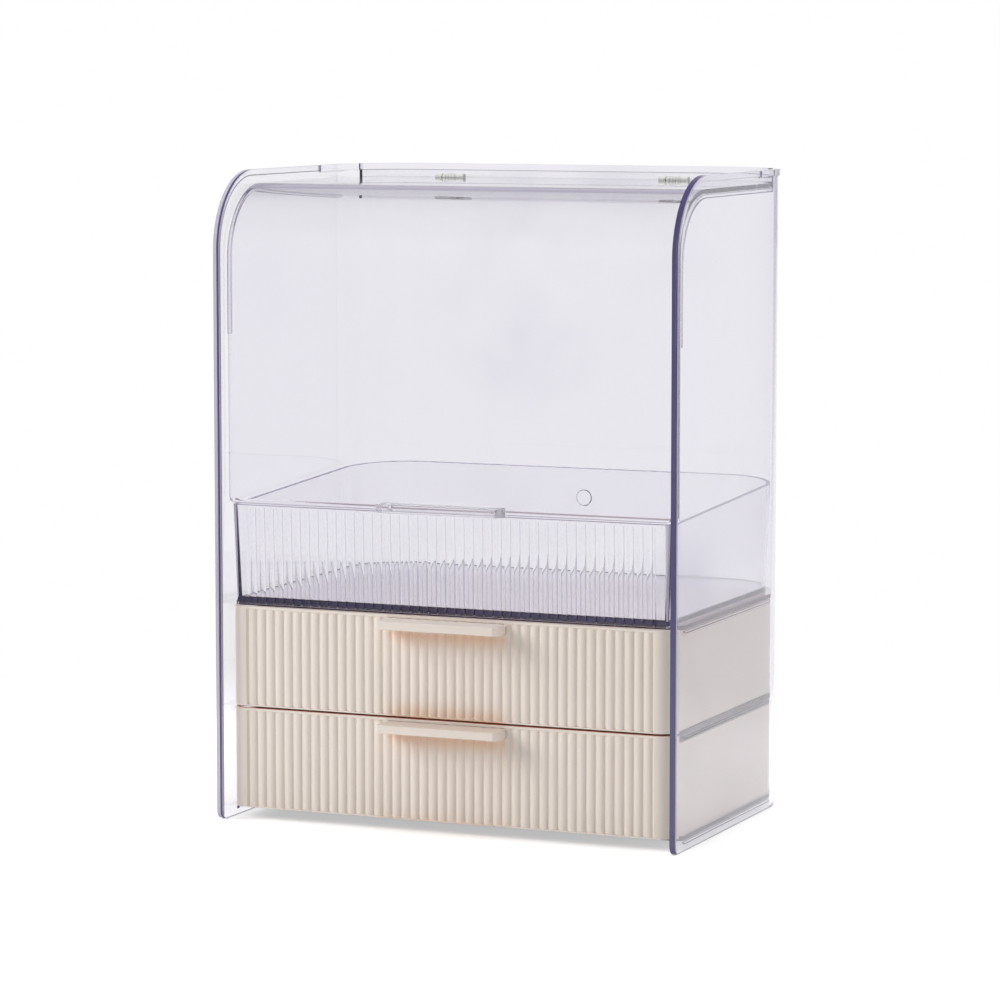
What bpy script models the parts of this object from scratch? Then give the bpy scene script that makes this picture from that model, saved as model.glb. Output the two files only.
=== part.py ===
"""Makeup display case: a clear housing with a hinged curved lid, an open tray and two ribbed drawers.

Units are metres. +Z is up and the front faces -Y. The origin is on the ground, under the middle of the
whole object, drawer handles included.
"""
import math

import bmesh
import bpy
from mathutils import Vector

# Case, outside to outside
CASE_WIDTH = 0.250
CASE_DEPTH = 0.180
CASE_HEIGHT = 0.330

# Clearances and cutting aids
SEAT_GAP = 0.0003
SLIDING_GAP = 0.0014
OVERRUN = 0.0060
EMBED = 0.0008
WELD_DISTANCE = 0.000001
FLAT_ANGLE = math.radians(0.2)
SMOOTH_ANGLE = math.radians(35)

# Housing walls
WALL = 0.0026
BEAD_PROUD = 0.0010
BEAD_WIDTH = 0.0030
BACK_CORNER_RADIUS = 0.0380
TOP_FRONT_RADIUS = 0.0400
FOOT_RADIUS = 0.0050
GATE_RADIUS = 0.0042
GATE_DEPTH = 0.0006
GATE_SIDE_OFFSET = 0.0060
GATE_HEIGHT = 0.1530

# Shelf plates and the ledges that carry them
PLATE_THICKNESS = 0.0024
PLATE_SETBACK = 0.0140
PLATE_FRONT_RADIUS = 0.0030
LOWEST_PLATE_HEIGHT = 0.0048
LEVEL_PITCH = 0.0522
LEDGE_REACH = 0.0012
LEDGE_HEIGHT = 0.0012
LEDGE_SETBACK = 0.0020

# Fronts of the drawers and the tray
FRONT_SETBACK = 0.0065
FRONT_RADIUS = 0.0080
FRONT_SHELF_CLEARANCE = 0.0010
RIB_PITCH = 0.0050
RIB_WIDTH = 0.0044
RIB_VALLEY_DEPTH = 0.0010
RIB_CREST_DEPTH = 0.0001
RIB_END_MARGIN = 0.0100
RIB_STEPS = 4

# Drawer
DRAWER_FRONT_HEIGHT = 0.0512
DRAWER_FRONT_DROP = 0.0011
DRAWER_SIDE_HEIGHT = 0.0462
DRAWER_WALL = 0.0018
DRAWER_FRONT_WALL = 0.0025
DRAWER_FLOOR = 0.0018
DRAWER_RIB_TOP_MARGIN = 0.0013
DRAWER_RIB_BOTTOM_MARGIN = 0.0008

# Tray
TRAY_FRONT_HEIGHT = 0.0496
TRAY_BACK_HEIGHT = 0.0576
TRAY_FRONT_DROP = 0.0014
TRAY_FRONT_RADIUS = 0.0035
TRAY_SIDE_GAP = 0.0019
TRAY_WALL = 0.0022
TRAY_FLOOR = 0.0024
TRAY_DRAFT = 0.0024
TRAY_RIB_TOP_MARGIN = 0.0014

# Handle bar
HANDLE_WIDTH = 0.0650
HANDLE_REACH = 0.0145
HANDLE_FRONT_HEIGHT = 0.0042
HANDLE_ROOT_HEIGHT = 0.0054
HANDLE_CORNER_RADIUS = 0.0018
HANDLE_DROP = 0.0015
PEG_RADIUS = 0.0010
PEG_SPACING = 0.0560
PEG_DROP = 0.0022

# Lid
LID_THICKNESS = 0.0024
LID_RECESS = 0.0070
LID_SETBACK = 0.0064
LID_CURVE_RADIUS = 0.0370
LID_CORNER_RADIUS = 0.0040
LID_TRAY_CLEARANCE = 0.0008
LID_EDGE_HEIGHT = 0.0026
LID_EDGE_PROUD = 0.0006
LID_OPEN_ANGLE = math.radians(110)
LID_HANDLE_REACH = 0.0130
LID_HANDLE_OVERHANG = 0.0010
LID_REST_REACH = 0.0024
LID_REST_THICKNESS = 0.0015
LID_REST_DROP = 0.0380

# Rear cap
CAP_RIM_HEIGHT = 0.0034
CAP_ARM_DEPTH = 0.0606
CAP_SKIRT_DEPTH = 0.0116
CAP_SKIRT_THICKNESS = 0.0016

# Hinges
HINGE_SETBACK = 0.0225
HINGE_SPACING = 0.1268
HINGE_LENGTH = 0.0162
HINGE_RADIUS = 0.0023
HINGE_MIDDLE_LENGTH = 0.0078
HINGE_SEAM_GAP = 0.0003
HINGE_NOTCH_CLEARANCE = 0.0005
LEAF_THICKNESS = 0.0012
LEAF_LENGTH = 0.0110
LEAF_WEB_FRONT = 0.0012
LEAF_WEB_BACK = 0.0004
LEAF_GAP = 0.0006
PIN_RADIUS = 0.0008
RIDGE_COUNT = 4
RIDGE_DEPTH = 0.0003

# Facets on round shapes
CORNER_STEPS = 9
SMALL_CORNER_STEPS = 4
CURVE_STEPS = 12
BARREL_STEPS = 16
PEG_STEPS = 10

# Finishes: colour, roughness, metallic, transmission
CLEAR_LAVENDER = ((0.80, 0.79, 0.87, 1.0), 0.06, 0.0, 0.9)
CLEAR_TRAY = ((0.84, 0.83, 0.88, 1.0), 0.07, 0.0, 0.9)
CREAM = ((0.86, 0.79, 0.69, 1.0), 0.38, 0.0, 0.0)
TRANSLUCENT = ((0.86, 0.86, 0.82, 1.0), 0.35, 0.0, 0.4)
PIN_WHITE = ((0.78, 0.78, 0.76, 1.0), 0.30, 0.0, 0.2)

# Places that follow from the sizes above
HANDLE_OVERHANG = HANDLE_REACH - FRONT_SETBACK
CASE_BACK = (CASE_DEPTH + HANDLE_OVERHANG) / 2
CASE_FRONT = CASE_BACK - CASE_DEPTH
WALL_OUTER_X = CASE_WIDTH / 2 - BEAD_PROUD
WALL_INNER_X = WALL_OUTER_X - WALL
BACK_OUTER_Y = CASE_BACK - BEAD_PROUD
BACK_INNER_Y = BACK_OUTER_Y - WALL
INNER_CORNER_RADIUS = BACK_CORNER_RADIUS - WALL
CORNER_CENTRE = (WALL_INNER_X - INNER_CORNER_RADIUS, BACK_INNER_Y - INNER_CORNER_RADIUS)
PLATE_FRONT_Y = CASE_FRONT + PLATE_SETBACK
FRONT_FACE_Y = CASE_FRONT + FRONT_SETBACK
FRONT_INNER_Y = PLATE_FRONT_Y - FRONT_SHELF_CLEARANCE
PLATE_HEIGHTS = [LOWEST_PLATE_HEIGHT + level * LEVEL_PITCH for level in range(3)]
DRAWER_HEIGHTS = [height + PLATE_THICKNESS + SEAT_GAP for height in PLATE_HEIGHTS[:2]]
TRAY_HEIGHT = PLATE_HEIGHTS[2] + PLATE_THICKNESS + SEAT_GAP
RIB_ROOM = WALL_INNER_X - SLIDING_GAP - RIB_END_MARGIN
LID_TOP = CASE_HEIGHT - LID_RECESS
LID_FRONT_Y = CASE_FRONT + LID_SETBACK
LID_BOTTOM = TRAY_HEIGHT + TRAY_FRONT_HEIGHT + LID_TRAY_CLEARANCE
LID_HALF_WIDTH = WALL_INNER_X - SLIDING_GAP
LID_CURVE_CENTRE = (LID_FRONT_Y + LID_CURVE_RADIUS, LID_TOP - LID_CURVE_RADIUS)
HINGE_Y = CASE_BACK - HINGE_SETBACK
CAP_ARM_Y = CASE_BACK - CAP_ARM_DEPTH
CAP_RIM_LOW = CASE_HEIGHT - CAP_RIM_HEIGHT
CAP_DECK_FRONT = HINGE_Y + HINGE_SEAM_GAP


def clear_scene():
    """Remove whatever the file opened with."""
    for item in list(bpy.data.objects):
        bpy.data.objects.remove(item, do_unlink=True)


def plastic(name, finish_values):
    """A Principled material from a finish: colour, roughness, metallic and transmission."""
    colour, roughness, metallic, transmission = finish_values
    material = bpy.data.materials.new(name)
    material.use_nodes = True
    shader = material.node_tree.nodes["Principled BSDF"]
    shader.inputs["Base Color"].default_value = colour
    shader.inputs["Roughness"].default_value = roughness
    shader.inputs["Metallic"].default_value = metallic
    shader.inputs["Transmission Weight"].default_value = transmission
    material.diffuse_color = colour
    return material


def arc(centre, radius, start, end, steps):
    """Points of an arc in a plane, from one angle in degrees to another, ends included."""
    turns = [math.radians(start + (end - start) * step / steps) for step in range(steps + 1)]
    return [(centre[0] + radius * math.cos(turn), centre[1] + radius * math.sin(turn)) for turn in turns]


def rectangle(low_u, high_u, low_v, high_v):
    """A rectangle between two corners."""
    return [(low_u, low_v), (high_u, low_v), (high_u, high_v), (low_u, high_v)]


def circle(centre, radius, steps):
    """A circle."""
    return arc(centre, radius, 0, 360, steps)[:-1]


def mirrored(points):
    """The same points on the other side of the middle plane, in the order that carries an outline on."""
    return [(-x, y) for x, y in reversed(points)]


def insert_outline(clearance, front_y, front_radius, inset=0):
    """Plan of a piece that fits the housing's inside, round at the back like the housing's corners."""
    half = WALL_INNER_X - clearance - inset
    radius = INNER_CORNER_RADIUS - clearance - inset
    small = max(front_radius - inset, SEAT_GAP)
    front_corner = arc((half - small, front_y + inset + small), small, 270, 360, SMALL_CORNER_STEPS)
    right = front_corner + arc(CORNER_CENTRE, radius, 0, 90, CORNER_STEPS)
    return right + mirrored(right)


def open_band(outer_x, inner_x, back_y, radius, front_y):
    """Plan of a U: two arms and a back of one thickness, with round corners and square ends."""
    thickness = outer_x - inner_x
    centre = (outer_x - radius, back_y - radius)
    outer = [(outer_x, front_y)] + arc(centre, radius, 0, 90, CORNER_STEPS)
    inner = [(inner_x, front_y)] + arc(centre, radius - thickness, 0, 90, CORNER_STEPS)
    return outer + mirrored(outer) + mirrored(inner)[::-1] + inner[::-1]


def prism(outline, axis, low, high, far_outline=None):
    """A straight-sided block: its outline at low, and the same or another one at high."""
    return outline, far_outline or outline, axis, low, high


def place(point, axis, along):
    """A point of an outline, put at a distance along the block's axis."""
    if axis == "X":
        return Vector((along, point[0], point[1]))
    if axis == "Y":
        return Vector((point[0], along, point[1]))
    return Vector((point[0], point[1], along))


def add_block(mesh, block):
    """Add one block to a bmesh, closed and with its faces out."""
    near_outline, far_outline, axis, low, high = block
    near = [mesh.verts.new(place(point, axis, low)) for point in near_outline]
    far = [mesh.verts.new(place(point, axis, high)) for point in far_outline]
    faces = [mesh.faces.new(near), mesh.faces.new(far[::-1])]
    for index in range(len(near)):
        after = (index + 1) % len(near)
        faces.append(mesh.faces.new((near[index], near[after], far[after], far[index])))
    bmesh.ops.recalc_face_normals(mesh, faces=faces)


def new_solid(name, *blocks):
    """An object made of one or more blocks that don't meet."""
    mesh = bmesh.new()
    for block in blocks:
        add_block(mesh, block)
    data = bpy.data.meshes.new(name)
    mesh.to_mesh(data)
    mesh.free()
    solid = bpy.data.objects.new(name, data)
    bpy.context.collection.objects.link(solid)
    return solid


def combine(solid, operation, *blocks):
    """Join, cut or trim a solid with a tool made of blocks, and keep the result as its mesh."""
    tool = new_solid("tool", *blocks)
    modifier = solid.modifiers.new("Shape", "BOOLEAN")
    modifier.operation = operation
    modifier.object = tool
    depsgraph = bpy.context.evaluated_depsgraph_get()
    shaped = bpy.data.meshes.new_from_object(solid.evaluated_get(depsgraph))
    solid.modifiers.clear()
    solid.data = shaped
    bpy.data.objects.remove(tool, do_unlink=True)


def finish(solid, finish_values):
    """Merge what the cuts left double, drop edges inside flat faces, and dress the solid."""
    mesh = bmesh.new()
    mesh.from_mesh(solid.data)
    bmesh.ops.remove_doubles(mesh, verts=mesh.verts, dist=WELD_DISTANCE)
    bmesh.ops.dissolve_limit(mesh, angle_limit=FLAT_ANGLE, verts=mesh.verts, edges=mesh.edges)
    bmesh.ops.recalc_face_normals(mesh, faces=mesh.faces)
    mesh.to_mesh(solid.data)
    mesh.free()
    solid.data.materials.clear()
    solid.data.materials.append(plastic(solid.name, finish_values))
    solid.data.shade_smooth()
    solid.data.set_sharp_from_angle(angle=SMOOTH_ANGLE)
    return solid


def copy_of(solid, name, finish_values):
    """Another object of the same shape, with a material of its own."""
    twin = bpy.data.objects.new(name, solid.data.copy())
    bpy.context.collection.objects.link(twin)
    twin.data.materials.clear()
    twin.data.materials.append(plastic(name, finish_values))
    return twin


def frame(name, location):
    """An empty that carries a moving group."""
    holder = bpy.data.objects.new(name, None)
    bpy.context.collection.objects.link(holder)
    holder.location = location
    return holder


def put(solid, location, parent=None):
    """Place a solid, in its parent's frame where it has one."""
    solid.location = location
    solid.parent = parent


def wall_pair(outline, inner_x, outer_x):
    """A block on each side wall, from the same side view."""
    return prism(outline, "X", inner_x, outer_x), prism(outline, "X", -outer_x, -inner_x)


def case_profile():
    """Side view of the case: a quarter round at the top front and a small one at the foot."""
    back = CASE_BACK + OVERRUN
    top_centre = (CASE_FRONT + TOP_FRONT_RADIUS, CASE_HEIGHT - TOP_FRONT_RADIUS)
    foot_centre = (CASE_FRONT + FOOT_RADIUS, FOOT_RADIUS)
    return (
        [(back, 0), (back, CASE_HEIGHT)]
        + arc(top_centre, TOP_FRONT_RADIUS, 90, 180, CURVE_STEPS)
        + arc(foot_centre, FOOT_RADIUS, 180, 270, SMALL_CORNER_STEPS)
    )


def bead_profile():
    """Side view of the bead that runs up the front edge, round the curve and along the top."""
    centre = (CASE_FRONT + TOP_FRONT_RADIUS, CASE_HEIGHT - TOP_FRONT_RADIUS)
    back = CAP_ARM_Y - SEAT_GAP
    return (
        [(CASE_FRONT + BEAD_WIDTH, -OVERRUN)]
        + arc(centre, TOP_FRONT_RADIUS - BEAD_WIDTH, 180, 90, CURVE_STEPS)
        + [(back, CASE_HEIGHT - BEAD_WIDTH), (back, CASE_HEIGHT + OVERRUN)]
        + [(CASE_FRONT - OVERRUN, CASE_HEIGHT + OVERRUN), (CASE_FRONT - OVERRUN, -OVERRUN)]
    )


def lid_rest_profile():
    """Side view of the rail under the lid's edge, which follows the lid's curve down the front."""
    outer = LID_CURVE_RADIUS - LID_THICKNESS - SEAT_GAP
    inner = outer - LID_REST_THICKNESS
    centre_y, centre_z = LID_CURVE_CENTRE
    low = centre_z - LID_REST_DROP
    back = CORNER_CENTRE[1]
    return (
        [(back, centre_z + outer)]
        + arc(LID_CURVE_CENTRE, outer, 90, 180, CURVE_STEPS)
        + [(centre_y - outer, low), (centre_y - inner, low)]
        + arc(LID_CURVE_CENTRE, inner, 180, 90, CURVE_STEPS)
        + [(back, centre_z + inner)]
    )


def ledge_blocks():
    """The ledges under the shelf plates, one on each side wall at each level."""
    front = PLATE_FRONT_Y + LEDGE_SETBACK
    back = CORNER_CENTRE[1]
    blocks = []
    for height in PLATE_HEIGHTS:
        top = height - SEAT_GAP
        outline = rectangle(front, back, top - LEDGE_HEIGHT, top)
        blocks.extend(wall_pair(outline, WALL_INNER_X - LEDGE_REACH, WALL_INNER_X + EMBED))
    return blocks


def build_housing():
    """The clear U-shaped shell: left wall, back and right wall in one moulding."""
    walls = open_band(WALL_OUTER_X, WALL_INNER_X, BACK_OUTER_Y, BACK_CORNER_RADIUS, CASE_FRONT - OVERRUN)
    shell = new_solid("housing_shell", prism(walls, "Z", -OVERRUN, CASE_HEIGHT + OVERRUN))
    combine(shell, "UNION", *wall_pair(bead_profile(), WALL_OUTER_X - EMBED, CASE_WIDTH / 2))
    combine(shell, "INTERSECT", prism(case_profile(), "X", -CASE_WIDTH, CASE_WIDTH))
    rests = wall_pair(lid_rest_profile(), WALL_INNER_X - LID_REST_REACH, WALL_INNER_X + EMBED)
    combine(shell, "UNION", *rests, *ledge_blocks())
    seat = rectangle(CAP_ARM_Y - SEAT_GAP, CASE_DEPTH, CAP_RIM_LOW - SEAT_GAP, CASE_HEIGHT + OVERRUN)
    combine(shell, "DIFFERENCE", prism(seat, "X", -CASE_WIDTH, CASE_WIDTH))
    gate = circle((GATE_SIDE_OFFSET, GATE_HEIGHT), GATE_RADIUS, BARREL_STEPS)
    combine(shell, "DIFFERENCE", prism(gate, "Y", BACK_OUTER_Y - GATE_DEPTH, CASE_BACK + OVERRUN))
    finish(shell, CLEAR_LAVENDER)


def build_plates():
    """The bottom plate and the two shelves: three copies of one plate."""
    outline = insert_outline(SEAT_GAP, PLATE_FRONT_Y, PLATE_FRONT_RADIUS)
    plate = new_solid("bottom_plate", prism(outline, "Z", 0, PLATE_THICKNESS))
    finish(plate, CLEAR_LAVENDER)
    middle = copy_of(plate, "middle_shelf", CLEAR_LAVENDER)
    upper = copy_of(plate, "upper_shelf", CLEAR_LAVENDER)
    for solid, height in zip((plate, middle, upper), PLATE_HEIGHTS):
        put(solid, (0, 0, height))


def rib_valleys(face_y):
    """Plan of the cut that leaves round ribs with narrow valleys in a front face."""
    count = int(2 * RIB_ROOM / RIB_PITCH + WELD_DISTANCE)
    end = count * RIB_PITCH / 2
    valley = face_y + RIB_VALLEY_DEPTH
    rise = RIB_VALLEY_DEPTH - RIB_CREST_DEPTH
    points = [(end, face_y - OVERRUN), (-end, face_y - OVERRUN), (-end, valley)]
    for index in range(count):
        centre = (index + 1 / 2) * RIB_PITCH - end
        for step in range(RIB_STEPS + 1):
            turn = math.pi * step / RIB_STEPS
            points.append((centre - RIB_WIDTH / 2 * math.cos(turn), valley - rise * math.sin(turn)))
    return points + [(end, valley)]


def peg_blocks(height, radius, low, high):
    """The two pegs of a handle, or their holes, as blocks along Y."""
    centres = [(side * PEG_SPACING / 2, height) for side in (-1, 1)]
    return [prism(circle(centre, radius, PEG_STEPS), "Y", low, high) for centre in centres]


def build_drawer():
    """One drawer: a round-cornered open box with a ribbed front that hides the shelf's edge."""
    outer = insert_outline(SLIDING_GAP, FRONT_FACE_Y, FRONT_RADIUS)
    cavity_front = FRONT_FACE_Y + DRAWER_FRONT_WALL - DRAWER_WALL
    inner = insert_outline(SLIDING_GAP, cavity_front, FRONT_RADIUS, DRAWER_WALL)
    low = -DRAWER_FRONT_DROP
    top = DRAWER_FRONT_HEIGHT - DRAWER_FRONT_DROP
    drawer = new_solid("lower_drawer", prism(outer, "Z", low, top))
    combine(drawer, "DIFFERENCE", prism(inner, "Z", DRAWER_FLOOR, CASE_HEIGHT))
    behind = rectangle(-CASE_WIDTH, CASE_WIDTH, FRONT_INNER_Y, CASE_BACK + OVERRUN)
    under_box = prism(behind, "Z", low - OVERRUN, 0)
    over_box = prism(behind, "Z", DRAWER_SIDE_HEIGHT, CASE_HEIGHT)
    combine(drawer, "DIFFERENCE", under_box, over_box)
    ribs = rib_valleys(FRONT_FACE_Y)
    rib_low = low + DRAWER_RIB_BOTTOM_MARGIN
    combine(drawer, "DIFFERENCE", prism(ribs, "Z", rib_low, top - DRAWER_RIB_TOP_MARGIN))
    holes = peg_blocks(top - HANDLE_DROP - PEG_DROP, PEG_RADIUS + SEAT_GAP, CASE_FRONT, FRONT_INNER_Y)
    combine(drawer, "DIFFERENCE", *holes)
    return finish(drawer, CREAM)


def build_handle(name, reach, peg_length, finish_values):
    """A handle bar, thicker at its root, with two pegs behind it; its origin is the top of its root."""
    root, front = -SEAT_GAP, -reach
    side_view = [(root, 0), (front, 0), (front, -HANDLE_FRONT_HEIGHT), (root, -HANDLE_ROOT_HEIGHT)]
    handle = new_solid(name, prism(side_view, "X", -HANDLE_WIDTH, HANDLE_WIDTH))
    corner = (HANDLE_WIDTH / 2 - HANDLE_CORNER_RADIUS, front + HANDLE_CORNER_RADIUS)
    right = arc(corner, HANDLE_CORNER_RADIUS, 270, 360, SMALL_CORNER_STEPS) + [(HANDLE_WIDTH / 2, reach)]
    combine(handle, "INTERSECT", prism(right + mirrored(right), "Z", -CASE_HEIGHT, CASE_HEIGHT))
    combine(handle, "UNION", *peg_blocks(-PEG_DROP, PEG_RADIUS, root - EMBED, peg_length))
    return finish(handle, finish_values)


def build_drawers():
    """Both drawers with their handles, each group on its own frame."""
    lower = build_drawer()
    upper = copy_of(lower, "upper_drawer", CREAM)
    lower_handle = build_handle("lower_drawer_handle", HANDLE_REACH, DRAWER_FRONT_WALL, CREAM)
    upper_handle = copy_of(lower_handle, "upper_drawer_handle", CREAM)
    handle_top = DRAWER_FRONT_HEIGHT - DRAWER_FRONT_DROP - HANDLE_DROP
    groups = ((lower, lower_handle, "lower_drawer_frame"), (upper, upper_handle, "upper_drawer_frame"))
    for (drawer, handle, name), height in zip(groups, DRAWER_HEIGHTS):
        holder = frame(name, (0, 0, height))
        put(drawer, (0, 0, 0), holder)
        put(handle, (0, FRONT_FACE_Y, handle_top), holder)


def build_tray():
    """The open display tray: drafted walls, a ribbed front and a rim that rises towards the back."""
    low = -TRAY_FRONT_DROP
    high = TRAY_BACK_HEIGHT + OVERRUN
    outer_low, outer_high, inner_low, inner_high = [
        insert_outline(TRAY_SIDE_GAP, FRONT_FACE_Y, TRAY_FRONT_RADIUS, inset)
        for inset in (TRAY_DRAFT, 0, TRAY_WALL + TRAY_DRAFT, TRAY_WALL)
    ]
    tray = new_solid("display_tray", prism(outer_low, "Z", low, high, outer_high))
    combine(tray, "DIFFERENCE", prism(inner_low, "Z", TRAY_FLOOR, high + EMBED, inner_high))
    behind = rectangle(-CASE_WIDTH, CASE_WIDTH, FRONT_INNER_Y, CASE_BACK + OVERRUN)
    combine(tray, "DIFFERENCE", prism(behind, "Z", low - OVERRUN, 0))
    lean = TRAY_DRAFT / (high - low)
    rib_low, rib_high = low - OVERRUN, TRAY_FRONT_HEIGHT - TRAY_RIB_TOP_MARGIN
    ribs_low, ribs_high = [rib_valleys(FRONT_FACE_Y + lean * (high - level)) for level in (rib_low, rib_high)]
    combine(tray, "DIFFERENCE", prism(ribs_low, "Z", rib_low, rib_high, ribs_high))
    front, back = FRONT_FACE_Y - OVERRUN, BACK_INNER_Y + OVERRUN
    slope = (TRAY_BACK_HEIGHT - TRAY_FRONT_HEIGHT) / (BACK_INNER_Y - FRONT_FACE_Y)
    rim_front = TRAY_FRONT_HEIGHT - slope * OVERRUN
    rim_back = TRAY_BACK_HEIGHT + slope * OVERRUN
    above = [(front, rim_front), (back, rim_back), (back, CASE_HEIGHT), (front, CASE_HEIGHT)]
    combine(tray, "DIFFERENCE", prism(above, "X", -CASE_WIDTH, CASE_WIDTH))
    finish(tray, CLEAR_TRAY)
    put(tray, (0, 0, TRAY_HEIGHT))


def lid_profile():
    """Side view of the lid: flat top, quarter round, straight front with a thick lower edge."""
    back = HINGE_Y - HINGE_SEAM_GAP
    edge_top = LID_BOTTOM + LID_EDGE_HEIGHT
    proud = LID_FRONT_Y - LID_EDGE_PROUD
    return (
        [(back, LID_TOP - LID_THICKNESS), (back, LID_TOP)]
        + arc(LID_CURVE_CENTRE, LID_CURVE_RADIUS, 90, 180, CURVE_STEPS)
        + [(LID_FRONT_Y, edge_top), (proud, edge_top), (proud, LID_BOTTOM)]
        + [(LID_FRONT_Y + LID_THICKNESS, LID_BOTTOM)]
        + arc(LID_CURVE_CENTRE, LID_CURVE_RADIUS - LID_THICKNESS, 180, 90, CURVE_STEPS)
    )


def lid_plan():
    """Plan of the lid: its rear corners are cut back to pass the housing's round corners as it opens."""
    swept_length = LID_RECESS / math.sin(LID_OPEN_ANGLE)
    swept_y = HINGE_Y - swept_length * math.cos(LID_OPEN_ANGLE)
    radius = INNER_CORNER_RADIUS - SEAT_GAP - CAP_SKIRT_THICKNESS - HINGE_NOTCH_CLEARANCE
    rear_half = CORNER_CENTRE[0] + math.sqrt(radius**2 - (swept_y - CORNER_CENTRE[1]) ** 2)
    rear_y = HINGE_Y - swept_length - SLIDING_GAP
    side_y = rear_y - (LID_HALF_WIDTH - rear_half)
    right = [(LID_HALF_WIDTH, CASE_FRONT - OVERRUN), (LID_HALF_WIDTH, side_y)]
    right += [(rear_half, rear_y), (rear_half, CASE_BACK)]
    return right + mirrored(right)


def lid_front_view():
    """Front view of the lid, with round lower corners."""
    corner = (LID_HALF_WIDTH - LID_CORNER_RADIUS, LID_BOTTOM + LID_CORNER_RADIUS)
    right = arc(corner, LID_CORNER_RADIUS, 270, 360, SMALL_CORNER_STEPS)
    right.append((LID_HALF_WIDTH + OVERRUN, LID_BOTTOM + LID_CORNER_RADIUS))
    right.append((LID_HALF_WIDTH + OVERRUN, CASE_HEIGHT))
    return right + mirrored(right)


def hinge_notches():
    """Openings through the lid and the rear cap, where the hinge barrels stand."""
    half = HINGE_LENGTH / 2 + HINGE_NOTCH_CLEARANCE
    reach = HINGE_RADIUS + HINGE_NOTCH_CLEARANCE
    blocks = []
    for side in (-1, 1):
        centre = side * HINGE_SPACING / 2
        outline = rectangle(centre - half, centre + half, HINGE_Y - reach, HINGE_Y + reach)
        blocks.append(prism(outline, "Z", LID_TOP - LID_THICKNESS - EMBED, CASE_HEIGHT))
    return blocks


def build_lid(pivot):
    """The curved lid and its handle, both on the hinge's pivot."""
    lid = new_solid("lid", prism(lid_profile(), "X", -CASE_WIDTH / 2, CASE_WIDTH / 2))
    combine(lid, "INTERSECT", prism(lid_plan(), "Z", 0, CASE_HEIGHT))
    combine(lid, "INTERSECT", prism(lid_front_view(), "Y", CASE_FRONT - OVERRUN, CASE_BACK + OVERRUN))
    combine(lid, "DIFFERENCE", *hinge_notches())
    handle_top = LID_BOTTOM - LID_HANDLE_OVERHANG + HANDLE_ROOT_HEIGHT
    holes = peg_blocks(handle_top - PEG_DROP, PEG_RADIUS + SEAT_GAP, CASE_FRONT - OVERRUN, PLATE_FRONT_Y)
    combine(lid, "DIFFERENCE", *holes)
    finish(lid, CLEAR_LAVENDER)
    for vertex in lid.data.vertices:
        vertex.co -= pivot.location
    put(lid, (0, 0, 0), pivot)
    handle = build_handle("lid_handle", LID_HANDLE_REACH, LID_EDGE_PROUD + LID_THICKNESS, CLEAR_LAVENDER)
    root = Vector((0, LID_FRONT_Y - LID_EDGE_PROUD, handle_top))
    put(handle, root - pivot.location, pivot)


def build_cap():
    """The rear cap: a rim over the wall's top edge, a skirt inside it and the deck that holds the hinges."""
    low = CASE_HEIGHT - CAP_SKIRT_DEPTH
    outer_radius = BACK_CORNER_RADIUS + BEAD_PROUD
    outer_centre = (CASE_WIDTH / 2 - outer_radius, CASE_BACK - outer_radius)
    right = [(CASE_WIDTH / 2, CAP_ARM_Y)] + arc(outer_centre, outer_radius, 0, 90, CORNER_STEPS)
    cap = new_solid("rear_cap", prism(right + mirrored(right), "Z", low, CASE_HEIGHT))
    deck_turn = math.degrees(math.asin((CAP_DECK_FRONT - CORNER_CENTRE[1]) / INNER_CORNER_RADIUS))
    ahead = [(WALL_INNER_X, CAP_ARM_Y - OVERRUN)]
    ahead += arc(CORNER_CENTRE, INNER_CORNER_RADIUS, 0, deck_turn, CORNER_STEPS)
    combine(cap, "DIFFERENCE", prism(ahead + mirrored(ahead), "Z", 0, CASE_HEIGHT + OVERRUN))
    tub_x = WALL_INNER_X - SEAT_GAP
    outside_x = CASE_WIDTH / 2 + OVERRUN
    outside_radius = INNER_CORNER_RADIUS - SEAT_GAP + outside_x - tub_x
    outside_back = BACK_INNER_Y - SEAT_GAP + outside_x - tub_x
    outside = open_band(outside_x, tub_x, outside_back, outside_radius, CAP_ARM_Y - OVERRUN)
    combine(cap, "DIFFERENCE", prism(outside, "Z", 0, CAP_RIM_LOW))
    recess = insert_outline(SEAT_GAP, CAP_ARM_Y, 0, CAP_SKIRT_THICKNESS)
    above = prism(recess, "Z", LID_TOP, CASE_HEIGHT + OVERRUN)
    below = prism(recess, "Z", 0, LID_TOP - LID_THICKNESS)
    combine(cap, "DIFFERENCE", above, below)
    combine(cap, "DIFFERENCE", *hinge_notches())
    finish(cap, CLEAR_LAVENDER)


def leaf_side_view(side):
    """Side view of a hinge leaf: a web under the barrel and a plate under the sheet; side -1 is the lid's."""
    top = -LID_THICKNESS - SEAT_GAP
    bottom = top - LEAF_THICKNESS
    front, back = side * LEAF_WEB_FRONT, -side * LEAF_WEB_BACK
    far = side * LEAF_LENGTH
    return [(back, 0), (back, bottom), (far, bottom), (far, top), (front, top), (front, 0)]


def pin_block(radius, reach):
    """The hinge pin, or the hole for it, along the hinge axis to this reach on both sides."""
    return prism(circle((0, 0), radius, PEG_STEPS), "X", -reach, reach)


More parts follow.
